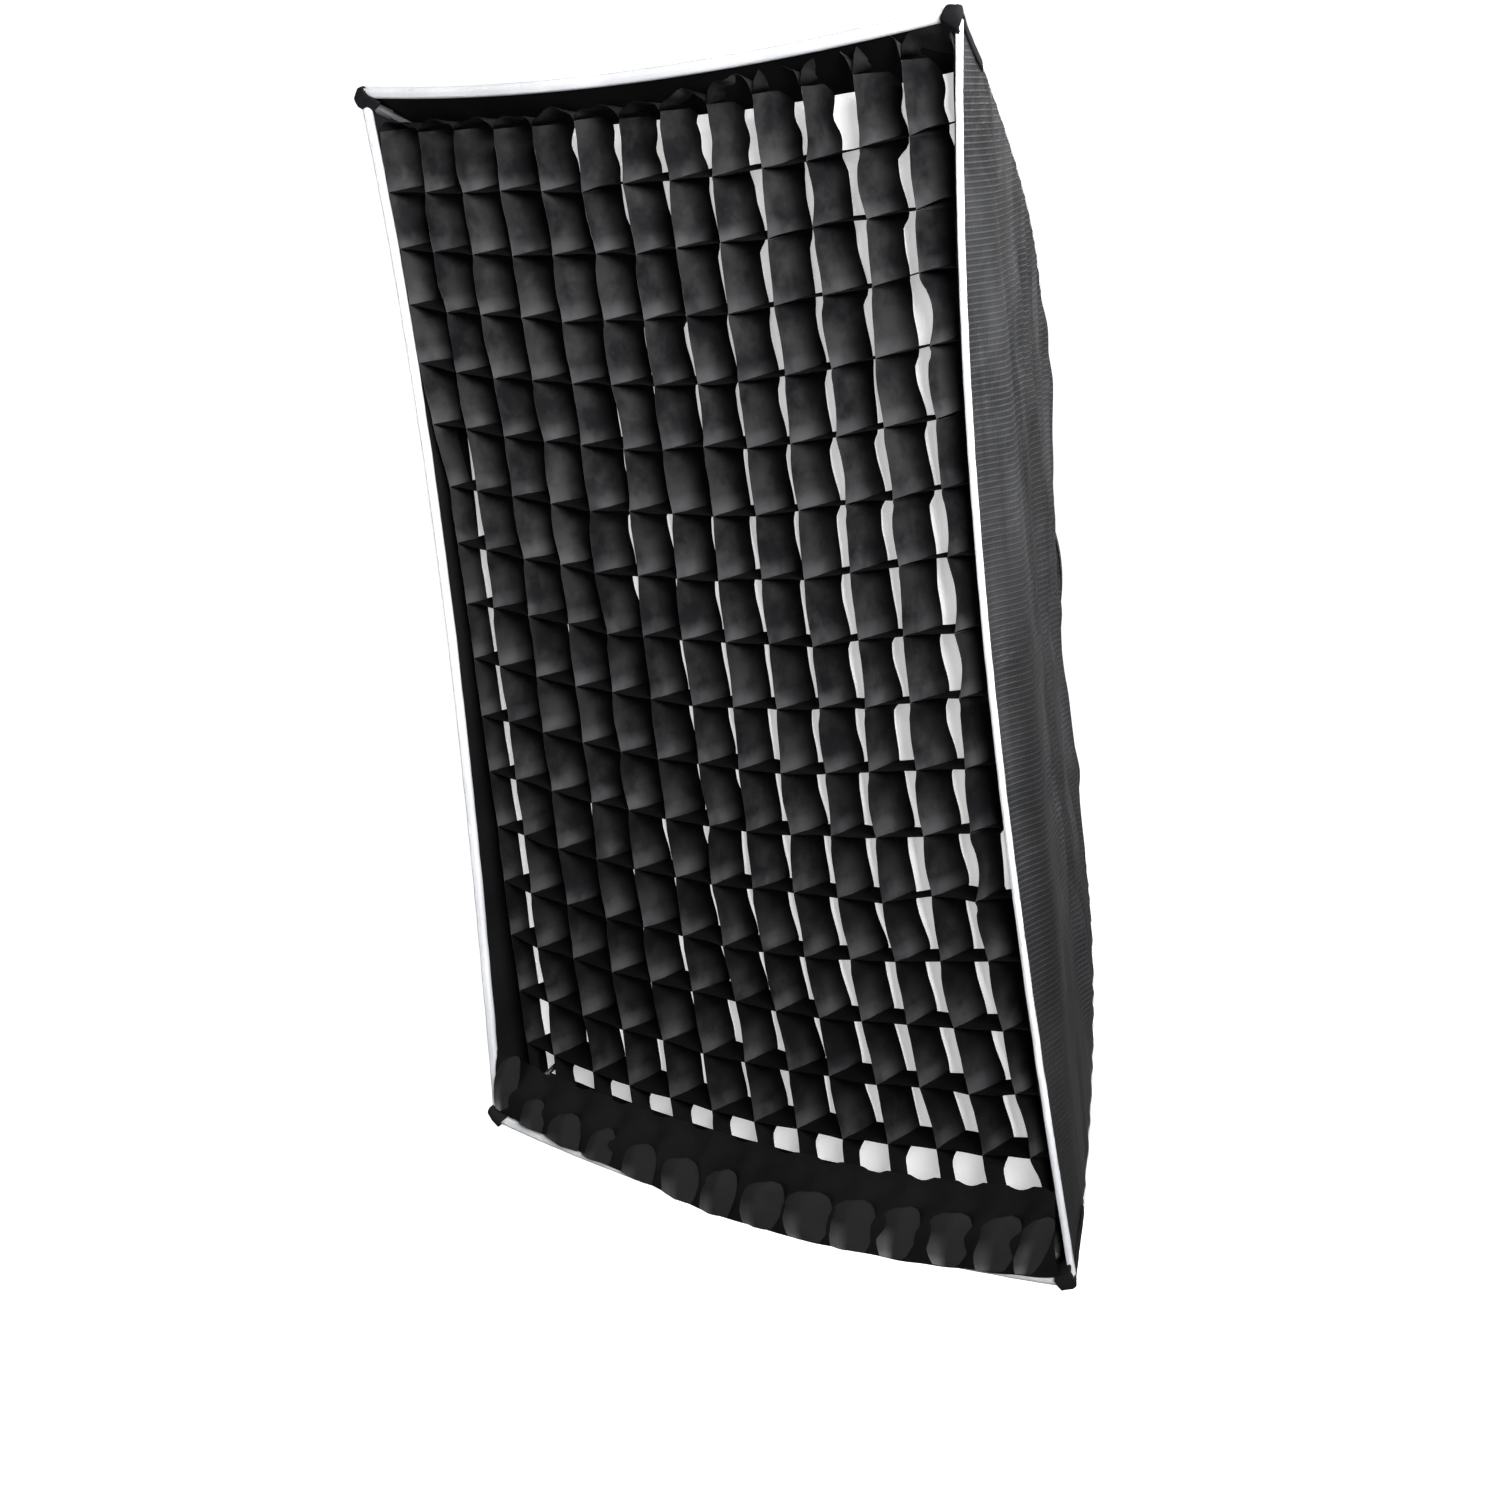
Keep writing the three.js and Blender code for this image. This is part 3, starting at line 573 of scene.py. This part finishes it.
def make_mouth_lining(materials):
    """Black inside of the mouth, with the loop tape that the grid and diffuser hold on to."""
    start = np.interp(RIM_Y + MOUTH_DEPTH, SEAM_TABLE[::-1, 1], np.linspace(1, 0, len(SEAM_TABLE)))
    t, s, quads = lattice(24, 70)
    u = (2 * s - 1) * 0.995
    for side, name in enumerate(SIDES):
        t_side = start + (0.999 - start) * t
        points, normal = hung_side(side, t_side, u, quads)
        points = points - normal * (0.0022 + 0.0020 * (1 - t))[:, None]
        facing = outward_quads(points, -normal, quads)
        quadrant_pieces(f"mouth_{name}", points, facing, points[:, [0, 2]] @ np.array([[1, 0.3], [1, -0.3]]),
                        *side_halves(side, s[quads].mean(1)), [materials["mouth"]], "black_webbing",
                        [f"loop_tape_{name}"], thickness=-0.0006)


def seam_line(corner, count, end=1.0):
    """Points along one rod seam of the shell, from the neck."""
    sx, sz = CORNERS[corner]
    rho, y = bezier(SEAM, np.linspace(0, end, count)).T
    return hang(np.stack([sx * rho * UX, y, sz * rho * UZ], 1))


def tube(name, line, radius, sides=10):
    """A closed round tube along a line of points."""
    line = np.asarray(line, float)
    tangent = np.gradient(line, axis=0)
    tangent /= np.linalg.norm(tangent, axis=1)[:, None]
    reference = np.cross(tangent, [0, 1, 0.001])
    reference /= np.linalg.norm(reference, axis=1)[:, None]
    other = np.cross(tangent, reference)
    angle = np.linspace(0, 2 * np.pi, sides, endpoint=False)
    points = (line[:, None] + radius * (np.cos(angle)[None, :, None] * reference[:, None]
                                        + np.sin(angle)[None, :, None] * other[:, None]))
    count = len(line)
    around = [(k, (k + 1) % sides) for k in range(sides)]
    faces = [(i * sides + a, i * sides + b, (i + 1) * sides + b, (i + 1) * sides + a)
             for i in range(count - 1) for a, b in around]
    faces += [tuple(range(sides))[::-1], tuple((count - 1) * sides + k for k in range(sides))]
    piece = mesh_object(name, points.reshape(-1, 3), faces, smooth=True)
    set_uv(piece, np.stack([np.tile(angle * radius, count), np.repeat(run_length(line), sides)], 1))
    return piece


def make_seams(materials):
    for corner in CORNERS:
        piping = tube(f"seam_piping_{corner}", seam_line(corner, 90, end=0.955), 0.0011)
        piping.data.materials.append(materials["binding"])
        follow(piping)


# ---- Rim binding ---------------------------------------------------------------------------
def make_bindings(materials):
    """Tape folded over the rim: a flattened round section with a stitching groove."""
    sides, count = 20, 130
    turn = np.linspace(0, 2 * np.pi, sides + 1)
    groove = 1 - 0.16 * np.exp(-((np.mod(turn - 4.4 + np.pi, 2 * np.pi) - np.pi) / 0.22) ** 2)
    for side, name in enumerate(SIDES):
        upright = side % 2 == 0
        slim = 0.5 if name == "right" else 1.0
        edge = HALF_W if upright else HALF_H
        half = (HALF_H if upright else HALF_W) - 0.003
        a = edge - 0.0012 + 0.0039 * slim * groove * np.cos(turn)
        y = RIM_Y + 0.0010 + 0.0029 * slim * groove * np.sin(turn)
        along = np.linspace(-half, half, count + 1)
        x, z = turned(np.tile(a, count + 1), np.repeat(along, sides + 1), side)
        points = hang(np.stack([x, np.tile(y, count + 1), z], 1))
        points[:, 1] += 0.0005 * cloth_noise(points, 55, side + 3)
        uv = np.stack([np.tile(turn * 0.0035, count + 1), np.repeat(along, sides + 1)], 1)
        _, _, quads = lattice(count, sides)
        quadrant_pieces(f"binding_{name}", points, quads[:, ::-1], uv,
                        *side_halves(side, (quads[:, 0] // (sides + 1) + 0.5) / count),
                        [materials["binding"]], "white_binding", [f"rim_binding_{name}"])


# ---- Egg-crate grid ------------------------------------------------------------------------
GRID_DEPTH = 0.039
FOLDED_ROW = ROWS - 1               # this row line lies on the lower rim; the cloth below it folds over
MIDDLE_ROW = 8                      # the row line where the upper and lower quarters meet
HIDDEN = 0.24                       # share of a cell's height that the row line above it hides
ROW_TILT = 0.0048                   # how far the rear edges of the row strips hang out of level
TOP_LINE_Z = 0.4105                 # level of the uppermost row line
ROW_HALF = 0.27                     # half the width that the row lines' sag is measured over
HEM_Z = -0.42                       # level at which the strips reach the hem


def wall_x(y, z):
    """Half the width between the side walls, as far as the grid can reach."""
    bow = SIDE_BOW * (1 - smooth((y - RIM_Y) / (NECK_Y - RIM_Y) / SIDE_BOW_DEPTH))
    v = np.asarray(z) / HALF_H
    return seam_rho(y) * UX - bow * (1 - v * v) * (1 + 0.25 * v) + FOOT_SPREAD * (1 - v) / 2 - 0.0055


def between_walls(points):
    """Keeps crate points below the top panel and above the bottom one."""
    half = seam_rho(points[:, 1]) * UZ
    sag, gap = 0.0140 * (1 - (points[:, 0] / HALF_W) ** 2), 0.0060
    points[:, 2] = np.clip(points[:, 2], -half - sag + gap, half - sag - gap)
    return points


def column_x(i, z):
    """Where a vertical strip's front edge runs: the crate spreads towards the bottom."""
    top, low = smooth((z - 0.1) / 0.3), smooth((-z - 0.15) / 0.27)
    left = -0.270 - 0.017 * top
    pitch = 0.0432 + 0.0014 * top + 0.0030 * low
    limit = wall_x(RIM_Y + 0.004, z) + 0.004
    first = 0.012 * float(smooth((0.20 - z) / 0.06)) if i == 0 else 0.0
    return float(np.clip(left + pitch * i, -limit, limit)) + first


def row_z(k, x):
    """Height of a row line, which sags between the side walls."""
    level = TOP_LINE_Z - ROW_PITCH * k
    lift = 0.013 + 0.012 * smooth((0.42 - level) / 0.25) - 0.004 * smooth((-level - 0.2) / 0.2)
    return level + 0.004 * x / ROW_HALF + lift * (x / ROW_HALF) ** 2 - 0.004


def make_crossings():
    """The points where strips cross, by column and row line, each a little out of place."""
    shift = rng.normal(0, 1, (COLUMNS + 1, ROWS + 1, 3)) * (0.0011, 0.0008, 0.0012)
    shift[[0, -1], :, 0] *= 0.2
    rng.normal(size=(COLUMNS + 1, ROWS + 1))        # not used, but the later draws depend on it
    for i in range(COLUMNS + 1):
        for k in range(FOLDED_ROW + 1):
            z = row_z(k, column_x(i, TOP_LINE_Z - ROW_PITCH * k))
            shift[i, k] += np.array([column_x(i, z), GRID_FRONT_Y + 0.0010, z])
    return shift


def crumple(i, k):
    """How untidy a cell is: the top row and the upper left corner are badly creased."""
    return 1 + 0.8 * (k == 0) + 1.7 * math.exp(-((i - 0.8) / 1.1) ** 2 - ((k - 2.2) / 1.6) ** 2)


def slat_depth(i, k, q):
    """Depth of a vertical strip: full, but short beside the left wall and where the lowest row folds over."""
    depth = GRID_DEPTH * (0.56 if i == 0 and k >= 5 else 1)
    return depth * (1 - 0.52 * float(smooth(q * 2.5))) if k == FOLDED_ROW - 1 else depth


def settle(values, k, q):
    """A cell's own value, reached from the value of the cell above while the row line still hides it."""
    blend = float(smooth(q / HIDDEN))
    return values[max(k - 1, 0)] * (1 - blend) + values[k] * blend


def swing(values, k, q):
    """Loose cloth that swings aside above each row line, and is back behind the one above it."""
    if q < HIDDEN:
        return values[max(k - 1, 0)] * (1 - float(smooth(q / HIDDEN)))
    return values[k] * float(smooth((q - 0.38) / 0.58))


def slat_shape(i):
    """How each cell of one vertical strip hangs: belly, closing and swing of its edges, in metres."""
    k = np.arange(FOLDED_ROW)
    rough = np.array([crumple(i, value) for value in k])
    loose = 1 + 0.9 * (i > 9)
    shape = {
        "belly": rng.normal(0.0004, 0.0011, FOLDED_ROW) * rough,
        "ahead": rng.normal(0.0002, 0.0009 * loose, FOLDED_ROW) * rough,
        "rear": rng.normal(0.0, 0.0012 * loose, FOLDED_ROW) * rough,
        "low": np.abs(rng.normal(0.0036, 0.0014, FOLDED_ROW)) * (1 - 0.4 * (k > 12)),
        "rough": rough,
    }
    shape["rear"] += 0.0040 * math.exp(-((i - 2.6) / 2.6) ** 2) * (1 - 0.5 * k / ROWS)
    shape["rear"] += 0.0042 * (1 - smooth((k - 2) / 11)) * (0.75 if i > 10 else 1)
    if i == COLUMNS - 1:
        shape["ahead"] = rng.uniform(-0.003, 0.008, FOLDED_ROW)
    if i in (0, COLUMNS):
        for part in ("belly", "ahead", "rear", "low"):
            shape[part] = shape[part] * np.where((k < 5) & (i == 0), 1.0, 0.25)
    return shape


def make_grid(materials):
    """The crate: upright strips along the columns, and level ones along the row lines, cell by cell."""
    crossings = make_crossings()
    seg, deep = 14, 8
    d = np.linspace(0, 1, deep + 1)
    points, quads, uv, right, top, shaded = [], [], [], [], [], []

    def strip(block, block_uv, is_right, is_top, is_shaded):
        """Adds one strip, given as rows of deep + 1 points, and says what each row of faces is."""
        block = np.array(block)
        start = sum(len(p) for p in points)
        points.append(block.reshape(-1, 3))
        uv.append(np.array(block_uv).reshape(-1, 2))
        quads.append(lattice(len(block) - 1, deep)[2] + start)
        for store, value in ((right, is_right), (top, is_top), (shaded, is_shaded)):
            store.append(np.repeat(np.broadcast_to(value, len(block) - 1), deep))

    def steps(first):
        return np.linspace(0, 1, seg + 1)[(0 if first else 1):]

    for i in range(COLUMNS + 1):
        block, block_uv = [], []
        shape = slat_shape(i)
        for k in range(FOLDED_ROW):
            a, b = crossings[i, k], crossings[i, k + 1]
            for q in steps(k == 0):
                base = a * (1 - q) + b * q
                y = base[1] + d * slat_depth(i, k, q)
                free = math.sin(math.pi * q)
                x = base[0] + settle(shape["belly"], k, q) * np.sin(math.pi * (0.1 + 0.8 * d)) * free ** 0.5
                x += settle(shape["ahead"], k, q) * (1 - d) * free + settle(shape["rear"], k, q) * d
                x += swing(shape["low"], k, q) * (0.25 + 0.75 * d)
                x += (shape["rough"][k] - 1) * 0.0018 * math.sin(11 * q + 5 * i + 3 * k) * (0.3 + d) * free
                limit = wall_x(y, base[2])
                x = np.clip(x, -limit, limit)
                block.append(np.stack([x, y, base[2] + 0 * d], 1))
                block_uv.append(np.stack([d * GRID_DEPTH, np.full(deep + 1, (k + q) * ROW_PITCH)], 1))
        row = np.arange(len(block) - 1) / seg
        strip(block, block_uv, i > COLUMNS // 2, row < MIDDLE_ROW, row >= FOLDED_ROW - 1)
    for k in range(FOLDED_ROW + 1):
        block, block_uv = [], []
        for i in range(COLUMNS):
            a, b = crossings[i, k], crossings[i + 1, k]
            arch, rear = rng.normal(0.0003, 0.0007), rng.normal(0.0, 0.0008)
            flap = rng.uniform(0.007, 0.011) + 0.016 * smooth((i - 5) / 7) if k == 0 else 0.0
            tilt = 0.0008 if k == FOLDED_ROW - 1 else ROW_TILT * max(-1.1, min(0.7, (k - 7) / 7))
            for q in steps(i == 0):
                free = math.sin(math.pi * q)
                base = a * (1 - q) + b * q
                y = base[1] + d * slat_depth(1, k - 1, 1) + 0.0004
                x = np.clip(base[0] + 0 * d, -wall_x(y, base[2]), wall_x(y, base[2]))
                z = base[2] + free * (arch * (1 - d) + rear * d) - tilt * d
                z = z + flap * free ** 0.5 * (1 - d) ** 1.5 * (1 + 0.15 * math.sin(9 * q + 4 * i))
                block.append(np.stack([x, y, z], 1))
                block_uv.append(np.stack([d * GRID_DEPTH, base[0] + 0 * d], 1))
        strip(block, block_uv, np.arange(len(block) - 1) >= seg * (COLUMNS // 2), k <= MIDDLE_ROW, k > 0)
    points = np.concatenate(points)
    points[:, 0] += 0.0010 * cloth_noise(points, 34, 5) + 0.0004 * cloth_noise(points, 75, 6)
    points[:, 2] += 0.0005 * cloth_noise(points, 60, 8)
    points = between_walls(points)
    quads, uv, shaded = np.concatenate(quads), np.concatenate(uv), np.concatenate(shaded)
    right, top = np.concatenate(right), np.concatenate(top)
    # The level strips hardly meet the light, and are a darker, matter side of the same cloth
    for name, own, material, run in (("grid", ~shaded, "grid", 3.0), ("grid_rows", shaded, "mouth", 2.6)):
        quadrant_pieces(name, points, quads[own], uv, right[own], top[own], [materials[material]],
                        "grid_fabric", ["egg_crate_grid"], flat=(GRID_DEPTH, run), held="hung",
                        rests_on=["rim_binding_top"], thickness=0.0006)


def fringe_low(x, ahead):
    """Lower edge of the cloth that is folded over the bottom rim, ahead metres in front of the rim."""
    level = -0.4770 + 0.0270 * (x / 0.285) ** 2 + 0.0075 * smooth((-x - 0.03) / 0.12)
    return level + 0.32 * ahead


def rim_bow(x):
    """How far the lower rim stands forward at x."""
    return RIM_BOW * (1 - (x / HALF_W) ** 2)


def make_hem(materials):
    """The cloth below the lowest open cells, folded forward over the rim."""
    t, s, quads = lattice(12, COLUMNS * 14)
    x = -0.296 + 0.596 * s
    bow = rim_bow(x)
    ripple = np.sin(x * 150 + 9 * t) * smooth(t / 0.2) * (1 - t)
    ahead = bow + 0.0048 + 0.0030 * np.sin(math.pi * t) + 0.0006 * np.sin(x * 143) * t
    ahead = 0.0006 + (ahead - 0.0006) * smooth(t / 0.6) + 0.0022 * ripple
    high = np.array([row_z(FOLDED_ROW - 1, value) for value in x]) - 0.0180 - 0.004 * smooth((x + 0.1) / 0.3)
    lines = np.array([column_x(i, HEM_Z) for i in range(COLUMNS + 1)])
    phase = np.interp(x, lines, np.arange(COLUMNS + 1)) - 0.66
    high += 0.0012 - 0.0034 * np.clip(np.cos(2 * math.pi * phase), 0, 1)
    low = fringe_low(x, bow + 0.0048) + 0.0005 * np.sin(x * 147) + 0.0004 * np.sin(x * 61 + 1)
    points = np.stack([x, RIM_Y - ahead, high * (1 - t) + low * t], 1)
    quadrant_pieces("hem", points, quads[:, ::-1], np.stack([t * 0.085, x], 1), s[quads].mean(1) > 0.5, False,
                    [materials["mouth"]], "grid_fabric", ["egg_crate_grid"], flat=(0.29, 0.08), held="folded",
                    rests_on=["rim_binding_bottom"], thickness=0.0006)


def make_lobes(materials):
    """The ends of the crate's lowest cells, turned out over the hem and flattened."""
    t, s, quads = lattice(14, 16)
    u = 2 * s - 1
    points, faces, uv, right = [], [], [], []
    for i in range(-1, COLUMNS):
        xa, xb = column_x(i, HEM_Z), column_x(i + 1, HEM_Z)
        middle = (xa + xb) / 2 + (0.010 if i < 0 else -0.004)
        half = max(xb - xa, 0.036) * rng.uniform(0.50, 0.60)
        height, lean = rng.uniform(0.048, 0.056), rng.uniform(0.35, 0.75)
        puff, skew = rng.uniform(0.0045, 0.0065), rng.uniform(-0.3, 0.15)
        lifted = 0.030 if i < 0 else 0.0
        round_off = np.sqrt(np.clip(1 - (0.95 * (2 * t ** 0.75 - 1)) ** 2, 0, 1))
        across = half * u * (0.10 + 0.90 * round_off)
        down = t * height
        x = middle + across * math.cos(lean) - 0.55 * down * math.sin(lean)
        z = row_z(FOLDED_ROW, middle) + 0.007 - down + across * math.sin(lean) * 0.5 + lifted
        crown = np.clip(1 - np.abs(u - skew * (1 - u * u)) ** 1.25, 0, 1)
        ahead = rim_bow(x) + 0.0070 + puff * crown * np.sin(math.pi * np.clip(0.05 + 0.9 * t, 0, 1)) ** 0.9
        z = np.maximum(z, fringe_low(x, ahead) + 0.0012)
        faces.append(quads + len(t) * len(points))
        points.append(np.stack([x, RIM_Y - ahead, z], 1))
        uv.append(np.stack([half * (u + 1), (14 + 0.999 * t) * LOBE_CELL], 1))
        right.append(np.full(len(quads), i >= COLUMNS // 2))
    points = np.concatenate(points)
    points[:, 1] += 0.0010 * cloth_noise(points, 70, 12)
    quadrant_pieces("lobes", points, np.concatenate(faces)[:, ::-1], np.concatenate(uv),
                    np.concatenate(right), False, [materials["fold"]], "grid_fabric", ["egg_crate_grid"],
                    flat=(0.29, 0.038), held="folded", rests_on=["rim_binding_bottom"], thickness=0.0006)


# ---- Diffuser, baffle and straps -----------------------------------------------------------
WALL_GAP = 0.0035                   # between the diffuser's edge and the walls of the mouth


def make_flat_sheet(name, node_name, materials, bulge, to_walls=False):
    """A white sheet on its hook-and-loop tape; to_walls lets it reach the sides of the mouth."""
    low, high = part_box(node_name)
    if to_walls:
        rho = seam_rho(low.y)
        high = Vector((rho * UX - WALL_GAP, high.y, rho * UZ - WALL_GAP))
        low = Vector((-high.x, low.y, -high.z))
    rows, columns = 56, 40
    t, s, quads = lattice(rows, columns)
    x = low.x + (high.x - low.x) * s
    z = low.z + (high.z - low.z) * t
    y = np.full_like(x, (low.y + high.y) / 2)
    u, v = 2 * s - 1, 2 * t - 1
    points = np.stack([x, y, z], 1)
    points[:, 1] -= bulge * (1 - u * u) * (1 - v * v)
    points[:, 1] += 0.0012 * cloth_noise(points, 9, 4) + 0.0006 * cloth_noise(points, 30, 6)
    points = hang(points)
    size = (round((high.x - low.x) / 2, 3), round((high.z - low.z) / 2, 3))
    made = quadrant_pieces(name, points, quads[:, ::-1], np.stack([x, z], 1), s[quads].mean(1) > 0.5,
                           t[quads].mean(1) > 0.5, [materials["diffuser"]], "diffuser_fabric", [node_name],
                           flat=size, thickness=0.0006,
                           rests_on=["loop_tape_{edge}" if to_walls else "baffle_strap_{corner}"])
    for piece in made:              # its glow shows, but doesn't wash out the black crate in front of it
        piece.visible_diffuse = piece.visible_glossy = False


def make_baffle_straps(materials):
    """Webbing from each corner of the baffle to its rod."""
    inner_rho = math.hypot(BAFFLE_HIGH.x, BAFFLE_HIGH.z) - 0.004
    outer_rho = 0.356
    t, s, quads = lattice(24, 6)
    rho = inner_rho + (outer_rho - inner_rho) * t
    beside = (2 * s - 1) * 0.009
    for corner, (sx, sz) in CORNERS.items():
        y = (BAFFLE_LOW.y + BAFFLE_HIGH.y) / 2 + 0.002 * np.sin(math.pi * t)
        points = np.stack([sx * (rho * UX - beside * UZ), y, sz * (rho * UZ + beside * UX)], 1)
        strap = mesh_object(f"strap_{corner}", points, quads, smooth=True)
        set_uv(strap, np.stack([beside, rho], 1))
        strap.data.materials.append(materials["webbing"])
        solidify(strap, 0.0012)
        follow(strap)
        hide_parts(f"baffle_strap_{corner}")


# ---- Corner pockets ------------------------------------------------------------------------
def make_corner_pockets(materials):
    """Webbing folded over the rod's end: round the seam outside, over the corner and back inside."""
    half = 0.0085
    rho, y = bezier(SEAM, np.linspace(0.93, 0.995, 18)).T
    outside = np.stack([rho + 0.0014, y], 1)
    tip = np.array([[CORNER_RHO + 0.0022, RIM_Y - 0.0004], [CORNER_RHO + 0.0020, RIM_Y - 0.0030],
                    [CORNER_RHO, RIM_Y - 0.0048], [CORNER_RHO - 0.0040, RIM_Y - 0.0054]])
    inside = np.stack([np.linspace(CORNER_RHO - 0.009, CORNER_RHO - 0.017, 12),
                       np.linspace(RIM_Y - 0.0052, RIM_Y + 0.004, 12)], 1)
    path = np.concatenate([outside, tip, inside])
    fold = np.concatenate([np.ones(len(outside)), [0.85, 0.6, 0.3, 0.1], np.zeros(len(inside))])
    length = run_length(path)
    t, s, quads = lattice(len(path) - 1, 12)
    row = np.rint(t * (len(path) - 1)).astype(int)
    rho, y, folded, w = path[row, 0], path[row, 1], fold[row], 2 * s - 1
    # Flat across the corner inside, and turned back along both panels outside
    down_x = half * (w * UZ * (1 - folded) + 0.5 * (np.sqrt(w * w + 0.02) + w) * folded)
    down_z = half * (-w * UX * (1 - folded) + 0.5 * (np.sqrt(w * w + 0.02) - w) * folded)
    for corner, (sx, sz) in CORNERS.items():
        points = hang(np.stack([sx * (rho * UX - down_x), y, sz * (rho * UZ - down_z)], 1))
        points[:, 1] += 0.0006 * cloth_noise(points, 90, 2)
        facing = quads if sx * sz > 0 else quads[:, ::-1]
        pocket = mesh_object(f"pocket_{corner}", points, facing, smooth=True)
        set_uv(pocket, np.stack([w * half, length[row]], 1))
        pocket.data.materials.append(materials["webbing"])
        solidify(pocket, 0.0016)
        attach(pocket, f"rod_{corner}")
        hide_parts(f"corner_pocket_{corner}")


# ---- Button springs ------------------------------------------------------------------------
SPRING_WIRE, SPRING_TURNS = 0.0004, 3


def make_springs(materials):
    """The button springs, drawn again so that each closes up between the hub and its button."""
    along = np.linspace(0, 1, SPRING_TURNS * 24 + 1)
    angle = 2 * np.pi * SPRING_TURNS * along
    for corner in CORNERS:
        low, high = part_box(f"button_spring_{corner}")
        middle = (low + high) / 2
        radius = (high.x - low.x) / 2 - SPRING_WIRE
        y = low.y + SPRING_WIRE + (high.y - low.y - 2 * SPRING_WIRE) * along
        line = np.stack([middle.x + radius * np.cos(angle), y, middle.z + radius * np.sin(angle)], 1)
        spring = tube(f"coil_{corner}", line, SPRING_WIRE, sides=8)
        spring.data.materials.append(materials["steel"])
        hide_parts(f"button_spring_{corner}")
        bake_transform(spring)


# ---- CAD pieces that stay ------------------------------------------------------------------
def finish_cad(materials):
    """Gives the CAD pieces that still show the material of their slot."""
    by_slot = {"hub_plastic": "plastic", "button_plastic": "button", "bright_aluminium": "aluminium",
               "steel": "steel", "rod_steel": "rod", "black_webbing": "webbing"}
    slots = {s["node"]: s["material_slot"] for s in frame["record"]["subparts"]}
    for name, piece in frame["nodes"].items():
        if slots[name] in by_slot and not piece.hide_render:
            piece.data.materials.clear()
            piece.data.materials.append(materials[by_slot[slots[name]]])


make_camera()
make_stage()
materials = make_materials()
make_shell(materials)
make_seams(materials)
make_bindings(materials)
make_grid(materials)
make_hem(materials)
make_lobes(materials)
make_flat_sheet("diffuser", "front_diffuser", materials, 0.002, to_walls=True)
make_flat_sheet("baffle", "inner_baffle", materials, 0.003)
make_mouth_lining(materials)
make_baffle_straps(materials)
make_corner_pockets(materials)
make_springs(materials)
finish_cad(materials)
